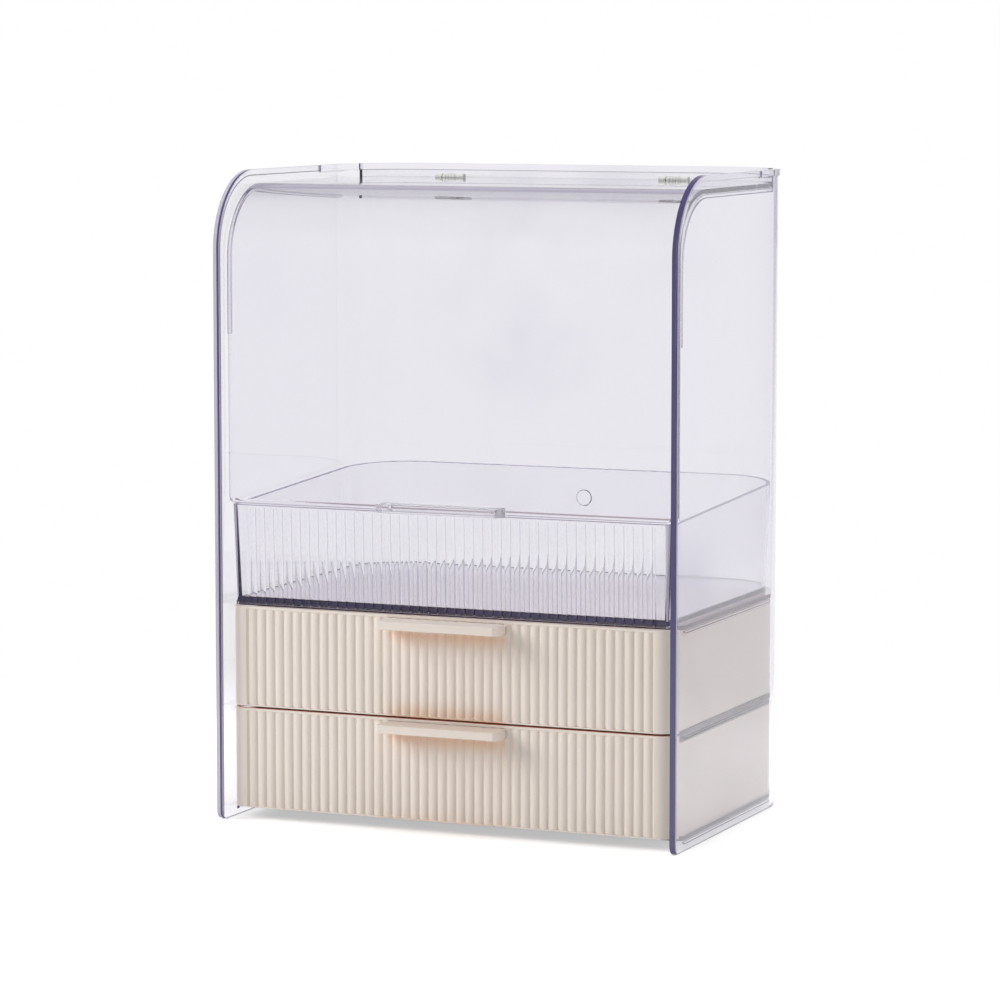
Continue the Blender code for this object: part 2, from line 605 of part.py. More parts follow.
def build_lid_leaf(name):
    """The hinge half on the lid: the ridged middle knuckle, its web and its plate."""
    half = HINGE_MIDDLE_LENGTH / 2
    core = circle((0, 0), HINGE_RADIUS - RIDGE_DEPTH, BARREL_STEPS)
    ridge = circle((0, 0), HINGE_RADIUS, BARREL_STEPS)
    leaf = new_solid(name, prism(core, "X", -half, half))
    width = HINGE_MIDDLE_LENGTH / (2 * RIDGE_COUNT + 1)
    starts = [(2 * index + 1) * width - half for index in range(RIDGE_COUNT)]
    combine(leaf, "UNION", *[prism(ridge, "X", start, start + width) for start in starts])
    combine(leaf, "UNION", prism(leaf_side_view(-1), "X", -half, half))
    combine(leaf, "DIFFERENCE", pin_block(PIN_RADIUS + SEAT_GAP, HINGE_LENGTH))
    return finish(leaf, TRANSLUCENT)


def build_cap_leaf(name):
    """The hinge half on the rear cap: two end knuckles, their webs and the plate that joins them."""
    half = HINGE_LENGTH / 2
    inner = HINGE_MIDDLE_LENGTH / 2 + SEAT_GAP
    barrel = circle((0, 0), HINGE_RADIUS, BARREL_STEPS)
    leaf = new_solid(name, *wall_pair(barrel, inner, half))
    combine(leaf, "UNION", *wall_pair(leaf_side_view(1), inner, half))
    top = -LID_THICKNESS - SEAT_GAP
    plate = rectangle(LEAF_WEB_BACK + LEAF_GAP, LEAF_LENGTH, top - LEAF_THICKNESS, top)
    combine(leaf, "UNION", prism(plate, "X", -half, half))
    combine(leaf, "DIFFERENCE", pin_block(PIN_RADIUS + SEAT_GAP, HINGE_LENGTH))
    return finish(leaf, TRANSLUCENT)


def build_hinges(pivot):
    """Two hinges, each a lid leaf, a cap leaf and the pin through both."""
    lid_leaf = build_lid_leaf("left_hinge_lid_leaf")
    cap_leaf = build_cap_leaf("left_hinge_cap_leaf")
    pin = new_solid("left_hinge_pin", pin_block(PIN_RADIUS, HINGE_LENGTH / 2))
    finish(pin, PIN_WHITE)
    right_lid_leaf = copy_of(lid_leaf, "right_hinge_lid_leaf", TRANSLUCENT)
    right_cap_leaf = copy_of(cap_leaf, "right_hinge_cap_leaf", TRANSLUCENT)
    right_pin = copy_of(pin, "right_hinge_pin", PIN_WHITE)
    hinges = ((-1, lid_leaf, cap_leaf, pin), (1, right_lid_leaf, right_cap_leaf, right_pin))
    for side, moving, fixed, axle in hinges:
        x = side * HINGE_SPACING / 2
        put(moving, (x, 0, 0), pivot)
        put(fixed, (x, HINGE_Y, LID_TOP))
        put(axle, (x, HINGE_Y, LID_TOP))


def main():
    """Build the whole case."""
    clear_scene()
    build_housing()
    build_plates()
    build_drawers()
    build_tray()
    build_cap()
    pivot = frame("lid_pivot", Vector((0, HINGE_Y, LID_TOP)))
    build_lid(pivot)
    build_hinges(pivot)


main()
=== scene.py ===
"""Looks of the makeup display case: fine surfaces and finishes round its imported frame, studio and camera."""
import logging
import math
from collections.abc import Callable
from dataclasses import dataclass
from enum import Enum

import bmesh
import bpy
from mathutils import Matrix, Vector


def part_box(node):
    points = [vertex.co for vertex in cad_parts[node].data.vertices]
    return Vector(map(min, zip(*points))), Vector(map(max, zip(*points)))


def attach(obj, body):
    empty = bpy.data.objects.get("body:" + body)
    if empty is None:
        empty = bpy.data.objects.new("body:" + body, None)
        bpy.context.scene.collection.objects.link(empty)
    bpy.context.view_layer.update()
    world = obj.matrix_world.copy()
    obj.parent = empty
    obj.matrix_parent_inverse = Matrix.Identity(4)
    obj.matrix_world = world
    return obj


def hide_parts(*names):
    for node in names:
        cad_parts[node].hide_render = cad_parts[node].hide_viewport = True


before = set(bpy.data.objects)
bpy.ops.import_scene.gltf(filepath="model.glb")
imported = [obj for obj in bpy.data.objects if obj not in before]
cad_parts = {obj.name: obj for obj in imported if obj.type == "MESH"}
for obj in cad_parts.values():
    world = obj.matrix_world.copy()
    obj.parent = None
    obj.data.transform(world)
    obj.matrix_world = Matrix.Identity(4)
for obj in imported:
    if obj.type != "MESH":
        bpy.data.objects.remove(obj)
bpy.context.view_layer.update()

LOG = logging.getLogger("display_case")

Point = tuple[float, float]
Outline = list[Point]
Colour = tuple[float, float, float]
Place = tuple[float, float, float]
EdgeTest = Callable[[Vector, Vector], bool]
Material = bpy.types.Material
Item = bpy.types.Object
Node = bpy.types.Node
Socket = bpy.types.NodeSocket
Tree = bpy.types.NodeTree

OVERRUN = 0.0060
EMBED = 0.0008
WELD_DISTANCE = 0.000001
FLAT_ANGLE = math.radians(0.2)
SHARP_ANGLE = math.radians(28)
TINY = 0.00001
AO_SAMPLES = 8
FLOW_RANGE = (0.3, 0.7)
WHITE = (1.0, 1.0, 1.0)
BLACK = (0.0, 0.0, 0.0)


class Axis(Enum):
    """The direction along which a block is drawn out."""

    X = 0
    Y = 1
    Z = 2


class Body(Enum):
    """The groups of pieces that move as one."""

    CASE = "root"
    LID = "lid"
    LOWER_DRAWER = "lower_drawer"
    UPPER_DRAWER = "upper_drawer"


class Slot(Enum):
    """The record's finishes."""

    CLEAR_CASE = "clear_case"
    CLEAR_TRAY = "clear_tray"
    CREAM = "cream_plastic"
    HINGE = "hinge_plastic"


def arc(centre: Point, radius: float, start: float, end: float, steps: int) -> Outline:
    """Give the points of an arc in a plane, ends included.

    Args:
        centre: The arc's centre.
        radius: Its radius.
        start: The angle where it starts, in degrees.
        end: The angle where it ends, in degrees.
        steps: How many chords it has.

    Returns:
        The points in order.
    """
    turns = [math.radians(start + (end - start) * step / steps) for step in range(steps + 1)]
    return [(centre[0] + radius * math.cos(turn), centre[1] + radius * math.sin(turn)) for turn in turns]


def circle(centre: Point, radius: float, steps: int) -> Outline:
    """Give a circle as a closed outline."""
    return arc(centre, radius, 0, 360, steps)[:-1]


def rectangle(low_u: float, high_u: float, low_v: float, high_v: float) -> Outline:
    """Give a rectangle between two corners."""
    return [(low_u, low_v), (high_u, low_v), (high_u, high_v), (low_u, high_v)]


def mirrored(points: Outline) -> Outline:
    """Give the points on the other side of the middle plane, in the order that carries an outline on."""
    return [(-x, y) for x, y in reversed(points)]


@dataclass(frozen=True)
class Block:
    """A straight-sided block: an outline at one end, and the same or another one at the other."""

    outline: Outline
    axis: Axis
    low: float
    high: float
    far_outline: Outline | None = None

    def place(self, point: Point, along: float) -> Vector:
        """Put a point of an outline at a distance along the axis."""
        index = self.axis.value
        return Vector((*point[:index], along, *point[index:]))

    def add_to(self, mesh: bmesh.types.BMesh) -> None:
        """Add the block to a mesh, closed and with its faces out.

        Args:
            mesh: The mesh that takes it.
        """
        near = [mesh.verts.new(self.place(point, self.low)) for point in self.outline]
        far = [mesh.verts.new(self.place(point, self.high)) for point in self.far_outline or self.outline]
        faces = [mesh.faces.new(near), mesh.faces.new(far[::-1])]
        for index in range(len(near)):
            after = (index + 1) % len(near)
            faces.append(mesh.faces.new((near[index], near[after], far[after], far[index])))
        bmesh.ops.recalc_face_normals(mesh, faces=faces)


@dataclass(frozen=True)
class EdgeFinish:
    """A second material and the test that says by a face's middle and normal whether the face takes it."""

    material: Material
    takes: EdgeTest


class Solid:
    """A closed mesh that grows by joins, cuts and trims, and is then softened and dressed."""

    def __init__(self, name: str, *blocks: Block) -> None:
        """Start a solid from blocks that don't meet.

        Args:
            name: The piece's name.
            *blocks: The blocks.
        """
        mesh = bmesh.new()
        for block in blocks:
            block.add_to(mesh)
        data = bpy.data.meshes.new(name)
        mesh.to_mesh(data)
        mesh.free()
        self.item = bpy.data.objects.new(name, data)
        bpy.context.scene.collection.objects.link(self.item)

    def bake(self) -> None:
        """Turn the modifiers into the mesh itself."""
        depsgraph = bpy.context.evaluated_depsgraph_get()
        shaped = bpy.data.meshes.new_from_object(self.item.evaluated_get(depsgraph))
        self.item.modifiers.clear()
        self.item.data = shaped

    def combine(self, operation: str, blocks: tuple[Block, ...]) -> None:
        """Work a tool made of blocks into the solid.

        Args:
            operation: UNION, DIFFERENCE or INTERSECT.
            blocks: The tool's blocks.
        """
        tool = Solid("tool", *blocks)
        modifier = self.item.modifiers.new("Shape", "BOOLEAN")
        modifier.operation = operation
        modifier.object = tool.item
        self.bake()
        bpy.data.objects.remove(tool.item, do_unlink=True)

    def join(self, *blocks: Block) -> None:
        """Add blocks to the solid."""
        self.combine("UNION", blocks)

    def cut(self, *blocks: Block) -> None:
        """Take blocks out of the solid."""
        self.combine("DIFFERENCE", blocks)

    def trim(self, block: Block) -> None:
        """Keep only what lies in the block."""
        self.combine("INTERSECT", (block,))

    def clean(self) -> None:
        """Merge what the cuts left double and drop edges inside flat faces."""
        mesh = bmesh.new()
        mesh.from_mesh(self.item.data)
        bmesh.ops.remove_doubles(mesh, verts=mesh.verts, dist=WELD_DISTANCE)
        bmesh.ops.dissolve_limit(mesh, angle_limit=FLAT_ANGLE, verts=mesh.verts, edges=mesh.edges)
        bmesh.ops.recalc_face_normals(mesh, faces=mesh.faces)
        mesh.to_mesh(self.item.data)
        mesh.free()

    def soften(self, width: float, steps: int) -> None:
        """Round the sharp edges.

        Args:
            width: How far the rounding reaches on each side of an edge.
            steps: How many strips it has.
        """
        self.clean()
        mesh = bmesh.new()
        mesh.from_mesh(self.item.data)
        edges = [
            edge for edge in mesh.edges
            if len(edge.link_faces) == 2 and edge.calc_face_angle(0) > SHARP_ANGLE
        ]
        bmesh.ops.bevel(
            mesh, geom=edges, offset=width, offset_type="OFFSET", segments=steps, profile=0.5,
            affect="EDGES", clamp_overlap=True, miter_outer="SHARP", miter_inner="SHARP",
        )
        mesh.to_mesh(self.item.data)
        mesh.free()

    def split(self, normal: Vector, distance: float) -> None:
        """Draw a line where a plane meets the faces, so that they can differ on either side.

        Args:
            normal: The plane's direction.
            distance: How far along it the plane lies.
        """
        mesh = bmesh.new()
        mesh.from_mesh(self.item.data)
        bmesh.ops.bisect_plane(
            mesh, geom=mesh.verts[:] + mesh.edges[:] + mesh.faces[:], dist=WELD_DISTANCE,
            plane_co=normal * distance, plane_no=normal,
        )
        mesh.to_mesh(self.item.data)
        mesh.free()

    def dress(self, body: Body, slot: Slot, node: str, material: Material, *edges: EdgeFinish) -> Item:
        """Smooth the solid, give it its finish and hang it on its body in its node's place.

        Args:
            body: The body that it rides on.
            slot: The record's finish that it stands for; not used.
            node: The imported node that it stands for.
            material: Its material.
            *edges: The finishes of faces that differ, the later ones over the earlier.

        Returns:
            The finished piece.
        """
        data = self.item.data
        data.materials.clear()
        data.materials.append(material)
        for index, finish in enumerate(edges, start=1):
            data.materials.append(finish.material)
            for face in data.polygons:
                if finish.takes(face.center, face.normal):
                    face.material_index = index
        data.shade_smooth()
        data.set_sharp_from_angle(angle=SHARP_ANGLE)
        weighted = self.item.modifiers.new("Even shading", "WEIGHTED_NORMAL")
        weighted.keep_sharp = True
        weighted.mode = "FACE_AREA"
        weighted.weight = 100
        self.bake()
        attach(self.item, body.value)
        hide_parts(node)
        LOG.info("%s: %d faces, on %s", self.item.name, len(self.item.data.polygons), body.value)
        return self.item


class NodeTree:
    """A short way to write shader nodes and their links."""

    def __init__(self, tree: Tree) -> None:
        """Keep the tree that the nodes go into."""
        self.tree = tree

    def add(self, kind: str, values: dict[str, object] | None = None, **settings: object) -> Node:
        """Add a node.

        Args:
            kind: The node's type.
            values: What its inputs hold: a number, a colour or the socket that feeds them.
            **settings: The node's own settings.

        Returns:
            The node.
        """
        node = self.tree.nodes.new(kind)
        for name, value in settings.items():
            setattr(node, name, value)
        for name, value in (values or {}).items():
            socket = node.inputs[int(name)] if name.isdigit() else node.inputs[name]
            if isinstance(value, Socket):
                self.tree.links.new(value, socket)
            else:
                socket.default_value = value
        return node

    def link(self, source: Socket, target: Socket) -> None:
        """Feed an input from an output."""
        self.tree.links.new(source, target)

    def maths(self, operation: str, first: object, second: object = 0.0) -> Socket:
        """Add a sum of one or two values."""
        return self.add("ShaderNodeMath", {"0": first, "1": second}, operation=operation).outputs[0]

    def vectors(self, operation: str, first: object, second: object = (0.0, 0.0, 0.0)) -> Node:
        """Add a sum of one or two directions."""
        return self.add("ShaderNodeVectorMath", {"0": first, "1": second}, operation=operation)

    def ramp(self, value: Socket, low: float, high: float, start: float, end: float) -> Socket:
        """Add a smooth step from one value to another.

        Args:
            value: What drives it.
            low: The driving value where it starts.
            high: The driving value where it ends.
            start: What it gives at the start.
            end: What it gives at the end.

        Returns:
            The socket with the result.
        """
        values = {"Value": value, "From Min": low, "From Max": high, "To Min": start, "To Max": end}
        return self.add("ShaderNodeMapRange", values, interpolation_type="SMOOTHSTEP").outputs[0]

    def blend(self, share: object, first: object, second: object) -> Socket:
        """Mix two colours by a share.

        Args:
            share: The second colour's share, a number or the socket that feeds it.
            first: The first colour or its socket.
            second: The second colour or its socket.

        Returns:
            The socket with the mix.
        """
        node = self.add("ShaderNodeMix", data_type="RGBA")
        for index, value in ((0, share), (6, first), (7, second)):
            if isinstance(value, Socket):
                self.tree.links.new(value, node.inputs[index])
            else:
                node.inputs[index].default_value = value
        return node.outputs[2]


def new_group(
    name: str, inputs: dict[str, float | Colour], outputs: tuple[str, ...], kind: str = "NodeSocketFloat"
) -> tuple[NodeTree, dict, dict]:
    """Start a shader node group.

    Args:
        name: The group's name.
        inputs: Each input with its value: a number, or three for a direction.
        outputs: The outputs' names.
        kind: The outputs' socket type.

    Returns:
        The group's tree, its input sockets and the sockets that its outputs are fed through.
    """
    tree = bpy.data.node_groups.new(name, "ShaderNodeTree")
    for title, value in inputs.items():
        taken = "NodeSocketVector" if isinstance(value, tuple) else "NodeSocketFloat"
        socket = tree.interface.new_socket(title, in_out="INPUT", socket_type=taken)
        socket.default_value = value
    for title in outputs:
        tree.interface.new_socket(title, in_out="OUTPUT", socket_type=kind)
    given = tree.nodes.new("NodeGroupInput")
    result = tree.nodes.new("NodeGroupOutput")
    return NodeTree(tree), {s.name: s for s in given.outputs}, {s.name: s for s in result.inputs}


def moulded_skin_group() -> Tree:
    """Build the effect of a moulded skin: slow waves, flow streaks and a fine grain.

    Returns:
        The group, with outputs Height, Flow and Grain.
    """
    inputs = {"Wave Scale": 12.0, "Flow Stretch": 6.0, "Grain Scale": 900.0, "Wave Share": 0.7}
    nodes, given, result = new_group("Moulded skin", inputs, ("Height", "Flow", "Grain"))
    place = nodes.add("ShaderNodeTexCoord").outputs["Object"]
    wave = nodes.add("ShaderNodeTexNoise", {"Vector": place, "Scale": given["Wave Scale"], "Detail": 1.0})
    stretch = nodes.add("ShaderNodeCombineXYZ", {"0": 1.0, "1": 1.0, "2": given["Flow Stretch"]})
    drawn = nodes.vectors("DIVIDE", place, stretch.outputs[0])
    streaks = {"Vector": drawn.outputs[0], "Scale": given["Wave Scale"], "Detail": 3.0}
    flow = nodes.add("ShaderNodeTexNoise", streaks)
    grain = nodes.add("ShaderNodeTexNoise", {"Vector": place, "Scale": given["Grain Scale"], "Detail": 2.0})
    waves = nodes.maths("MULTIPLY", wave.outputs[0], given["Wave Share"])
    rest = nodes.maths("SUBTRACT", 1.0, given["Wave Share"])
    grains = nodes.maths("MULTIPLY", grain.outputs[0], rest)
    nodes.link(nodes.maths("ADD", waves, grains), result["Height"])
    nodes.link(nodes.ramp(flow.outputs[0], *FLOW_RANGE, 0.0, 1.0), result["Flow"])
    nodes.link(grain.outputs[0], result["Grain"])
    return nodes.tree


def light_wear_group() -> Tree:
    """Build the effect of light use: hairline scratches and faint smears.

    Returns:
        The group, with outputs Scratch and Smear.
    """
    inputs = {"Scratch Scale": 35.0, "Smear Scale": 18.0, "Stretch": 40.0}
    nodes, given, result = new_group("Light wear", inputs, ("Scratch", "Smear"))
    place = nodes.add("ShaderNodeTexCoord").outputs["Object"]
    drawn = nodes.add("ShaderNodeCombineXYZ", {"0": given["Stretch"], "1": given["Stretch"], "2": 1.0})
    turned = nodes.add("ShaderNodeVectorRotate", {"Vector": place, "Angle": 0.5})
    lines = nodes.vectors("MULTIPLY", turned.outputs[0], drawn.outputs[0])
    hair = nodes.add("ShaderNodeTexNoise", {"Vector": lines.outputs[0], "Scale": given["Scratch Scale"]})
    here = nodes.add("ShaderNodeTexNoise", {"Vector": place, "Scale": given["Scratch Scale"], "Detail": 1.0})
    smear = nodes.add("ShaderNodeTexNoise", {"Vector": place, "Scale": given["Smear Scale"], "Detail": 2.0})
    thin = nodes.ramp(hair.outputs[0], 0.74, 0.78, 0.0, 1.0)
    broken = nodes.ramp(here.outputs[0], 0.60, 0.68, 0.0, 1.0)
    nodes.link(nodes.maths("MULTIPLY", thin, broken), result["Scratch"])
    nodes.link(nodes.ramp(smear.outputs[0], 0.5, 0.75, 0.0, 1.0), result["Smear"])
    return nodes.tree


def shade(colour: Colour) -> tuple[float, float, float, float]:
    """Give a colour with full alpha."""
    return (*colour, 1.0)


class Finish:
    """What all finishes share: a material with one Principled shader and the two common effects."""

    title = "Finish"

    def start(self) -> tuple[Material, NodeTree, Node, Node]:
        """Start a material.

        Returns:
            The material, its tree, its Principled shader and its output.
        """
        material = bpy.data.materials.new(self.title)
        material.use_nodes = True
        material.node_tree.nodes.clear()
        nodes = NodeTree(material.node_tree)
        shader = nodes.add("ShaderNodeBsdfPrincipled")
        output = nodes.add("ShaderNodeOutputMaterial")
        return material, nodes, shader, output

    def effect(self, nodes: NodeTree, group: Tree, **values: float) -> Node:
        """Place a shared effect in a material.

        Args:
            nodes: The material's tree.
            group: The effect.
            **values: The effect's inputs, with underscores for spaces.

        Returns:
            The group's node.
        """
        node = nodes.add("ShaderNodeGroup", node_tree=group)
        for name, value in values.items():
            node.inputs[name.replace("_", " ")].default_value = value
        return node


    def raise_skin(
        self, nodes: NodeTree, shader: Node, height: Socket, strength: float, depth: float
    ) -> None:
        """Give a shader its bumps.

        Args:
            nodes: The material's tree.
            shader: The Principled shader.
            height: What the bumps follow.
            strength: Their share.
            depth: How deep they are.
        """
        bump = nodes.add("ShaderNodeBump", {"Height": height, "Strength": strength, "Distance": depth})
        nodes.link(bump.outputs[0], shader.inputs["Normal"])


@dataclass(frozen=True)
class Effects:
    """The shared effects, built once."""

    skin: Tree
    wear: Tree


@dataclass(frozen=True)
class ClearPlastic(Finish):
    """Polished clear plastic whose faint violet shows through its depth."""

    title: str
    surface: Colour = (0.985, 0.982, 0.99)
    smear: Colour = (0.93, 0.93, 0.95)
    depth_colour: Colour = (0.10, 0.0, 0.36)
    depth_density: float = 20.0
    bend: float = 1.57
    roughness: float = 0.012
    smear_roughness: float = 0.06
    wave_depth: float = 0.00006
    scratch_depth: float = 0.000002
    haze: float = 0.006

    def build(self, effects: Effects) -> Material:
        """Build the material.

        Args:
            effects: The shared effects.

        Returns:
            The material.
        """
        material, nodes, shader, output = self.start()
        skin = self.effect(nodes, effects.skin, Wave_Scale=9.0, Grain_Scale=500.0, Wave_Share=0.97)
        wear = self.effect(nodes, effects.wear, Scratch_Scale=45.0, Smear_Scale=14.0)
        smeared = nodes.maths("MULTIPLY", wear.outputs["Smear"], skin.outputs["Flow"])
        nodes.link(nodes.blend(smeared, shade(self.surface), shade(self.smear)), shader.inputs["Base Color"])
        rough = nodes.ramp(smeared, 0.0, 1.0, self.roughness, self.smear_roughness)
        nodes.link(rough, shader.inputs["Roughness"])
        scratch = nodes.maths("MULTIPLY", wear.outputs["Scratch"], -self.scratch_depth / self.wave_depth)
        height = nodes.maths("ADD", skin.outputs["Height"], scratch)
        self.raise_skin(nodes, shader, height, 1.0, self.wave_depth)
        shader.inputs["IOR"].default_value = self.bend
        shader.inputs["Transmission Weight"].default_value = 1.0 - self.haze
        open_way = nodes.add("ShaderNodeBsdfTransparent", {"Color": shade(self.surface)})
        path = nodes.add("ShaderNodeLightPath")
        mixed = nodes.add(
            "ShaderNodeMixShader",
            {"0": path.outputs["Is Shadow Ray"], "1": shader.outputs[0], "2": open_way.outputs[0]},
        )
        nodes.link(mixed.outputs[0], output.inputs["Surface"])
        depth = nodes.add(
            "ShaderNodeVolumeAbsorption", {"Color": shade(self.depth_colour), "Density": self.depth_density}
        )
        nodes.link(depth.outputs[0], output.inputs["Volume"])
        return material


@dataclass(frozen=True)
class PaintedEdgePlastic(Finish):
    """A sheet's edge in one near-opaque colour: the plastic's own violet, made darker as painted shade on the
    dark edges and paler as a painted highlight on the pale ones.
    """

    title: str
    # Painted shade: this dark violet stands for the dim studio seen through the edge, over the plastic's own
    # violet.
    colour: Colour = (0.080, 0.066, 0.185)
    light_colour: Colour = (0.130, 0.112, 0.28)
    roughness: float = 0.10
    flow_roughness: float = 0.22
    transmission: float = 0.25
    bend: float = 1.57
    wave_depth: float = 0.00004

    def build(self, effects: Effects) -> Material:
        """Build the material.

        Args:
            effects: The shared effects.

        Returns:
            The material.
        """
        material, nodes, shader, output = self.start()
        skin = self.effect(nodes, effects.skin, Wave_Scale=16.0, Grain_Scale=700.0, Wave_Share=0.8)
        wear = self.effect(nodes, effects.wear, Scratch_Scale=80.0, Smear_Scale=24.0)
        body = nodes.blend(skin.outputs["Flow"], shade(self.colour), shade(self.light_colour))
        nodes.link(body, shader.inputs["Base Color"])
        rough = nodes.ramp(wear.outputs["Smear"], 0.0, 1.0, self.roughness, self.flow_roughness)
        nodes.link(rough, shader.inputs["Roughness"])
        self.raise_skin(nodes, shader, skin.outputs["Height"], 1.0, self.wave_depth)
        shader.inputs["IOR"].default_value = self.bend
        shader.inputs["Transmission Weight"].default_value = self.transmission
        nodes.link(shader.outputs[0], output.inputs["Surface"])
        return material


@dataclass(frozen=True)
class CreamPlastic(Finish):
    """Satin cream plastic, with a painted warm shadow under its handle, and painted dark shade and a painted
    glow in the seam between the drawers.
    """

    title: str
    colour: Colour = (0.87, 0.785, 0.71)
    flow_colour: Colour = (0.85, 0.76, 0.68)
    # Painted shadow: the warm brown painted under each handle, where its shade falls.
    painted_shadow_colour: Colour = (0.80, 0.47, 0.27)
    # Painted shade: the dark red-brown painted into the seam between the drawers.
    painted_gap_shade_colour: Colour = (0.50, 0.10, 0.03)
    # Painted glow: a faint red-brown light that the seam gives off of its own, though it is no lamp.
    painted_gap_glow_colour: Colour = (0.15, 0.030, 0.009)
    near_reach: float = 0.003
    painted_shadow_reach: float = 0.014
    front_back: float = -0.0750
    front_half: float = 0.1180
    grip_half: float = 0.0400
    grip_low: float = 0.0
    seam: float = 0.0
    seam_reach: float = 0.0018
    fade: float = 0.0020
    side_fade: float = 0.0080
    painted_shadow_range: Point = (0.04, 0.45)
    painted_shadow_share: float = 0.9
    painted_gap_range: Point = (0.20, 0.48)
    seam_core: float = 0.7
    roughness: float = 0.36
    grain_roughness: float = 0.46
    grain_depth: float = 0.00002

    def build(self, effects: Effects) -> Material:
        """Build the material.

        Args:
            effects: The shared effects.

        Returns:
            The material.
        """
        material, nodes, shader, output = self.start()
        skin = self.effect(nodes, effects.skin, Wave_Scale=14.0, Grain_Scale=1400.0, Wave_Share=0.4)
        wear = self.effect(nodes, effects.wear, Scratch_Scale=60.0, Smear_Scale=20.0)
        body = nodes.blend(skin.outputs["Flow"], shade(self.colour), shade(self.flow_colour))
        # Two occlusion tests that only place painted shade: a near one for the seam, and a far one that also
        # reaches the handle.
        near, far = [
            nodes.add("ShaderNodeAmbientOcclusion", {"Distance": reach}, samples=AO_SAMPLES).outputs["AO"]
            for reach in (self.near_reach, self.painted_shadow_reach)
        ]
        place = nodes.add("ShaderNodeTexCoord").outputs["Object"]
        apart = nodes.add("ShaderNodeSeparateXYZ", {"0": place})
        aside = nodes.maths("ABSOLUTE", apart.outputs[0])
        ahead = nodes.ramp(apart.outputs[1], self.front_back, self.front_back + self.fade, 1.0, 0.0)
        inward = nodes.ramp(aside, self.front_half - self.fade, self.front_half, 1.0, 0.0)
        under = nodes.ramp(apart.outputs[2], self.grip_low, self.grip_low + self.fade, 1.0, 0.0)
        between = nodes.ramp(aside, self.grip_half - self.side_fade, self.grip_half, 1.0, 0.0)
        here = nodes.maths("MULTIPLY", ahead, inward)
        by_grip = nodes.maths("MULTIPLY", nodes.maths("MULTIPLY", ahead, under), between)
        # Painted shadow: below the handle, where the far test finds more than the near one, the cream goes
        # over to the painted shadow colour.
        closed = nodes.ramp(nodes.maths("SUBTRACT", near, far), *self.painted_shadow_range, 0.0, self.painted_shadow_share)
        warm = nodes.blend(nodes.maths("MULTIPLY", by_grip, closed), body, shade(self.painted_shadow_colour))
        # Painted shade: along the seam between the drawers, where the near test finds the gap closed, the
        # cream is painted dark red-brown.
        level = nodes.maths("ABSOLUTE", nodes.maths("SUBTRACT", apart.outputs[2], self.seam))
        close = nodes.ramp(level, self.seam_core * self.seam_reach, self.seam_reach, 1.0, 0.0)
        at_seam = nodes.maths("MULTIPLY", here, close)
        painted_gap_mask = nodes.maths("MULTIPLY", at_seam, nodes.ramp(near, *self.painted_gap_range, 1.0, 0.0))
        nodes.link(nodes.blend(painted_gap_mask, warm, shade(self.painted_gap_shade_colour)), shader.inputs["Base Color"])
        # Painted glow: the seam's painted shade also gives off that faint light.
        glow = nodes.blend(painted_gap_mask, shade(BLACK), shade(self.painted_gap_glow_colour))
        nodes.link(glow, shader.inputs["Emission Color"])
        shader.inputs["Emission Strength"].default_value = 1.0
        rough = nodes.ramp(skin.outputs["Grain"], *FLOW_RANGE, self.roughness, self.grain_roughness)
        worn = nodes.maths("MULTIPLY", wear.outputs["Smear"], self.roughness - self.grain_roughness)
        nodes.link(nodes.maths("ADD", rough, worn), shader.inputs["Roughness"])
        height = nodes.maths("SUBTRACT", skin.outputs["Height"], wear.outputs["Scratch"])
        self.raise_skin(nodes, shader, height, 0.6, self.grain_depth)
        nodes.link(shader.outputs[0], output.inputs["Surface"])
        return material


@dataclass(frozen=True)
class HingePlastic(Finish):
    """Milky plastic that lets some light through."""

    title: str
    colour: Colour = (0.93, 0.93, 0.91)
    flow_colour: Colour = (0.88, 0.88, 0.85)
    roughness: float = 0.28
    grain_roughness: float = 0.42
    transmission: float = 0.20
    grain_depth: float = 0.00003

    def build(self, effects: Effects) -> Material:
        """Build the material.

        Args:
            effects: The shared effects.

        Returns:
            The material.
        """
        material, nodes, shader, output = self.start()
        skin = self.effect(nodes, effects.skin, Wave_Scale=60.0, Grain_Scale=1600.0, Wave_Share=0.5)
        body = nodes.blend(skin.outputs["Flow"], shade(self.colour), shade(self.flow_colour))
        nodes.link(body, shader.inputs["Base Color"])
        rough = nodes.ramp(skin.outputs["Grain"], *FLOW_RANGE, self.roughness, self.grain_roughness)
        nodes.link(rough, shader.inputs["Roughness"])
        self.raise_skin(nodes, shader, skin.outputs["Height"], 0.5, self.grain_depth)
        shader.inputs["Transmission Weight"].default_value = self.transmission
        nodes.link(shader.outputs[0], output.inputs["Surface"])
        return material


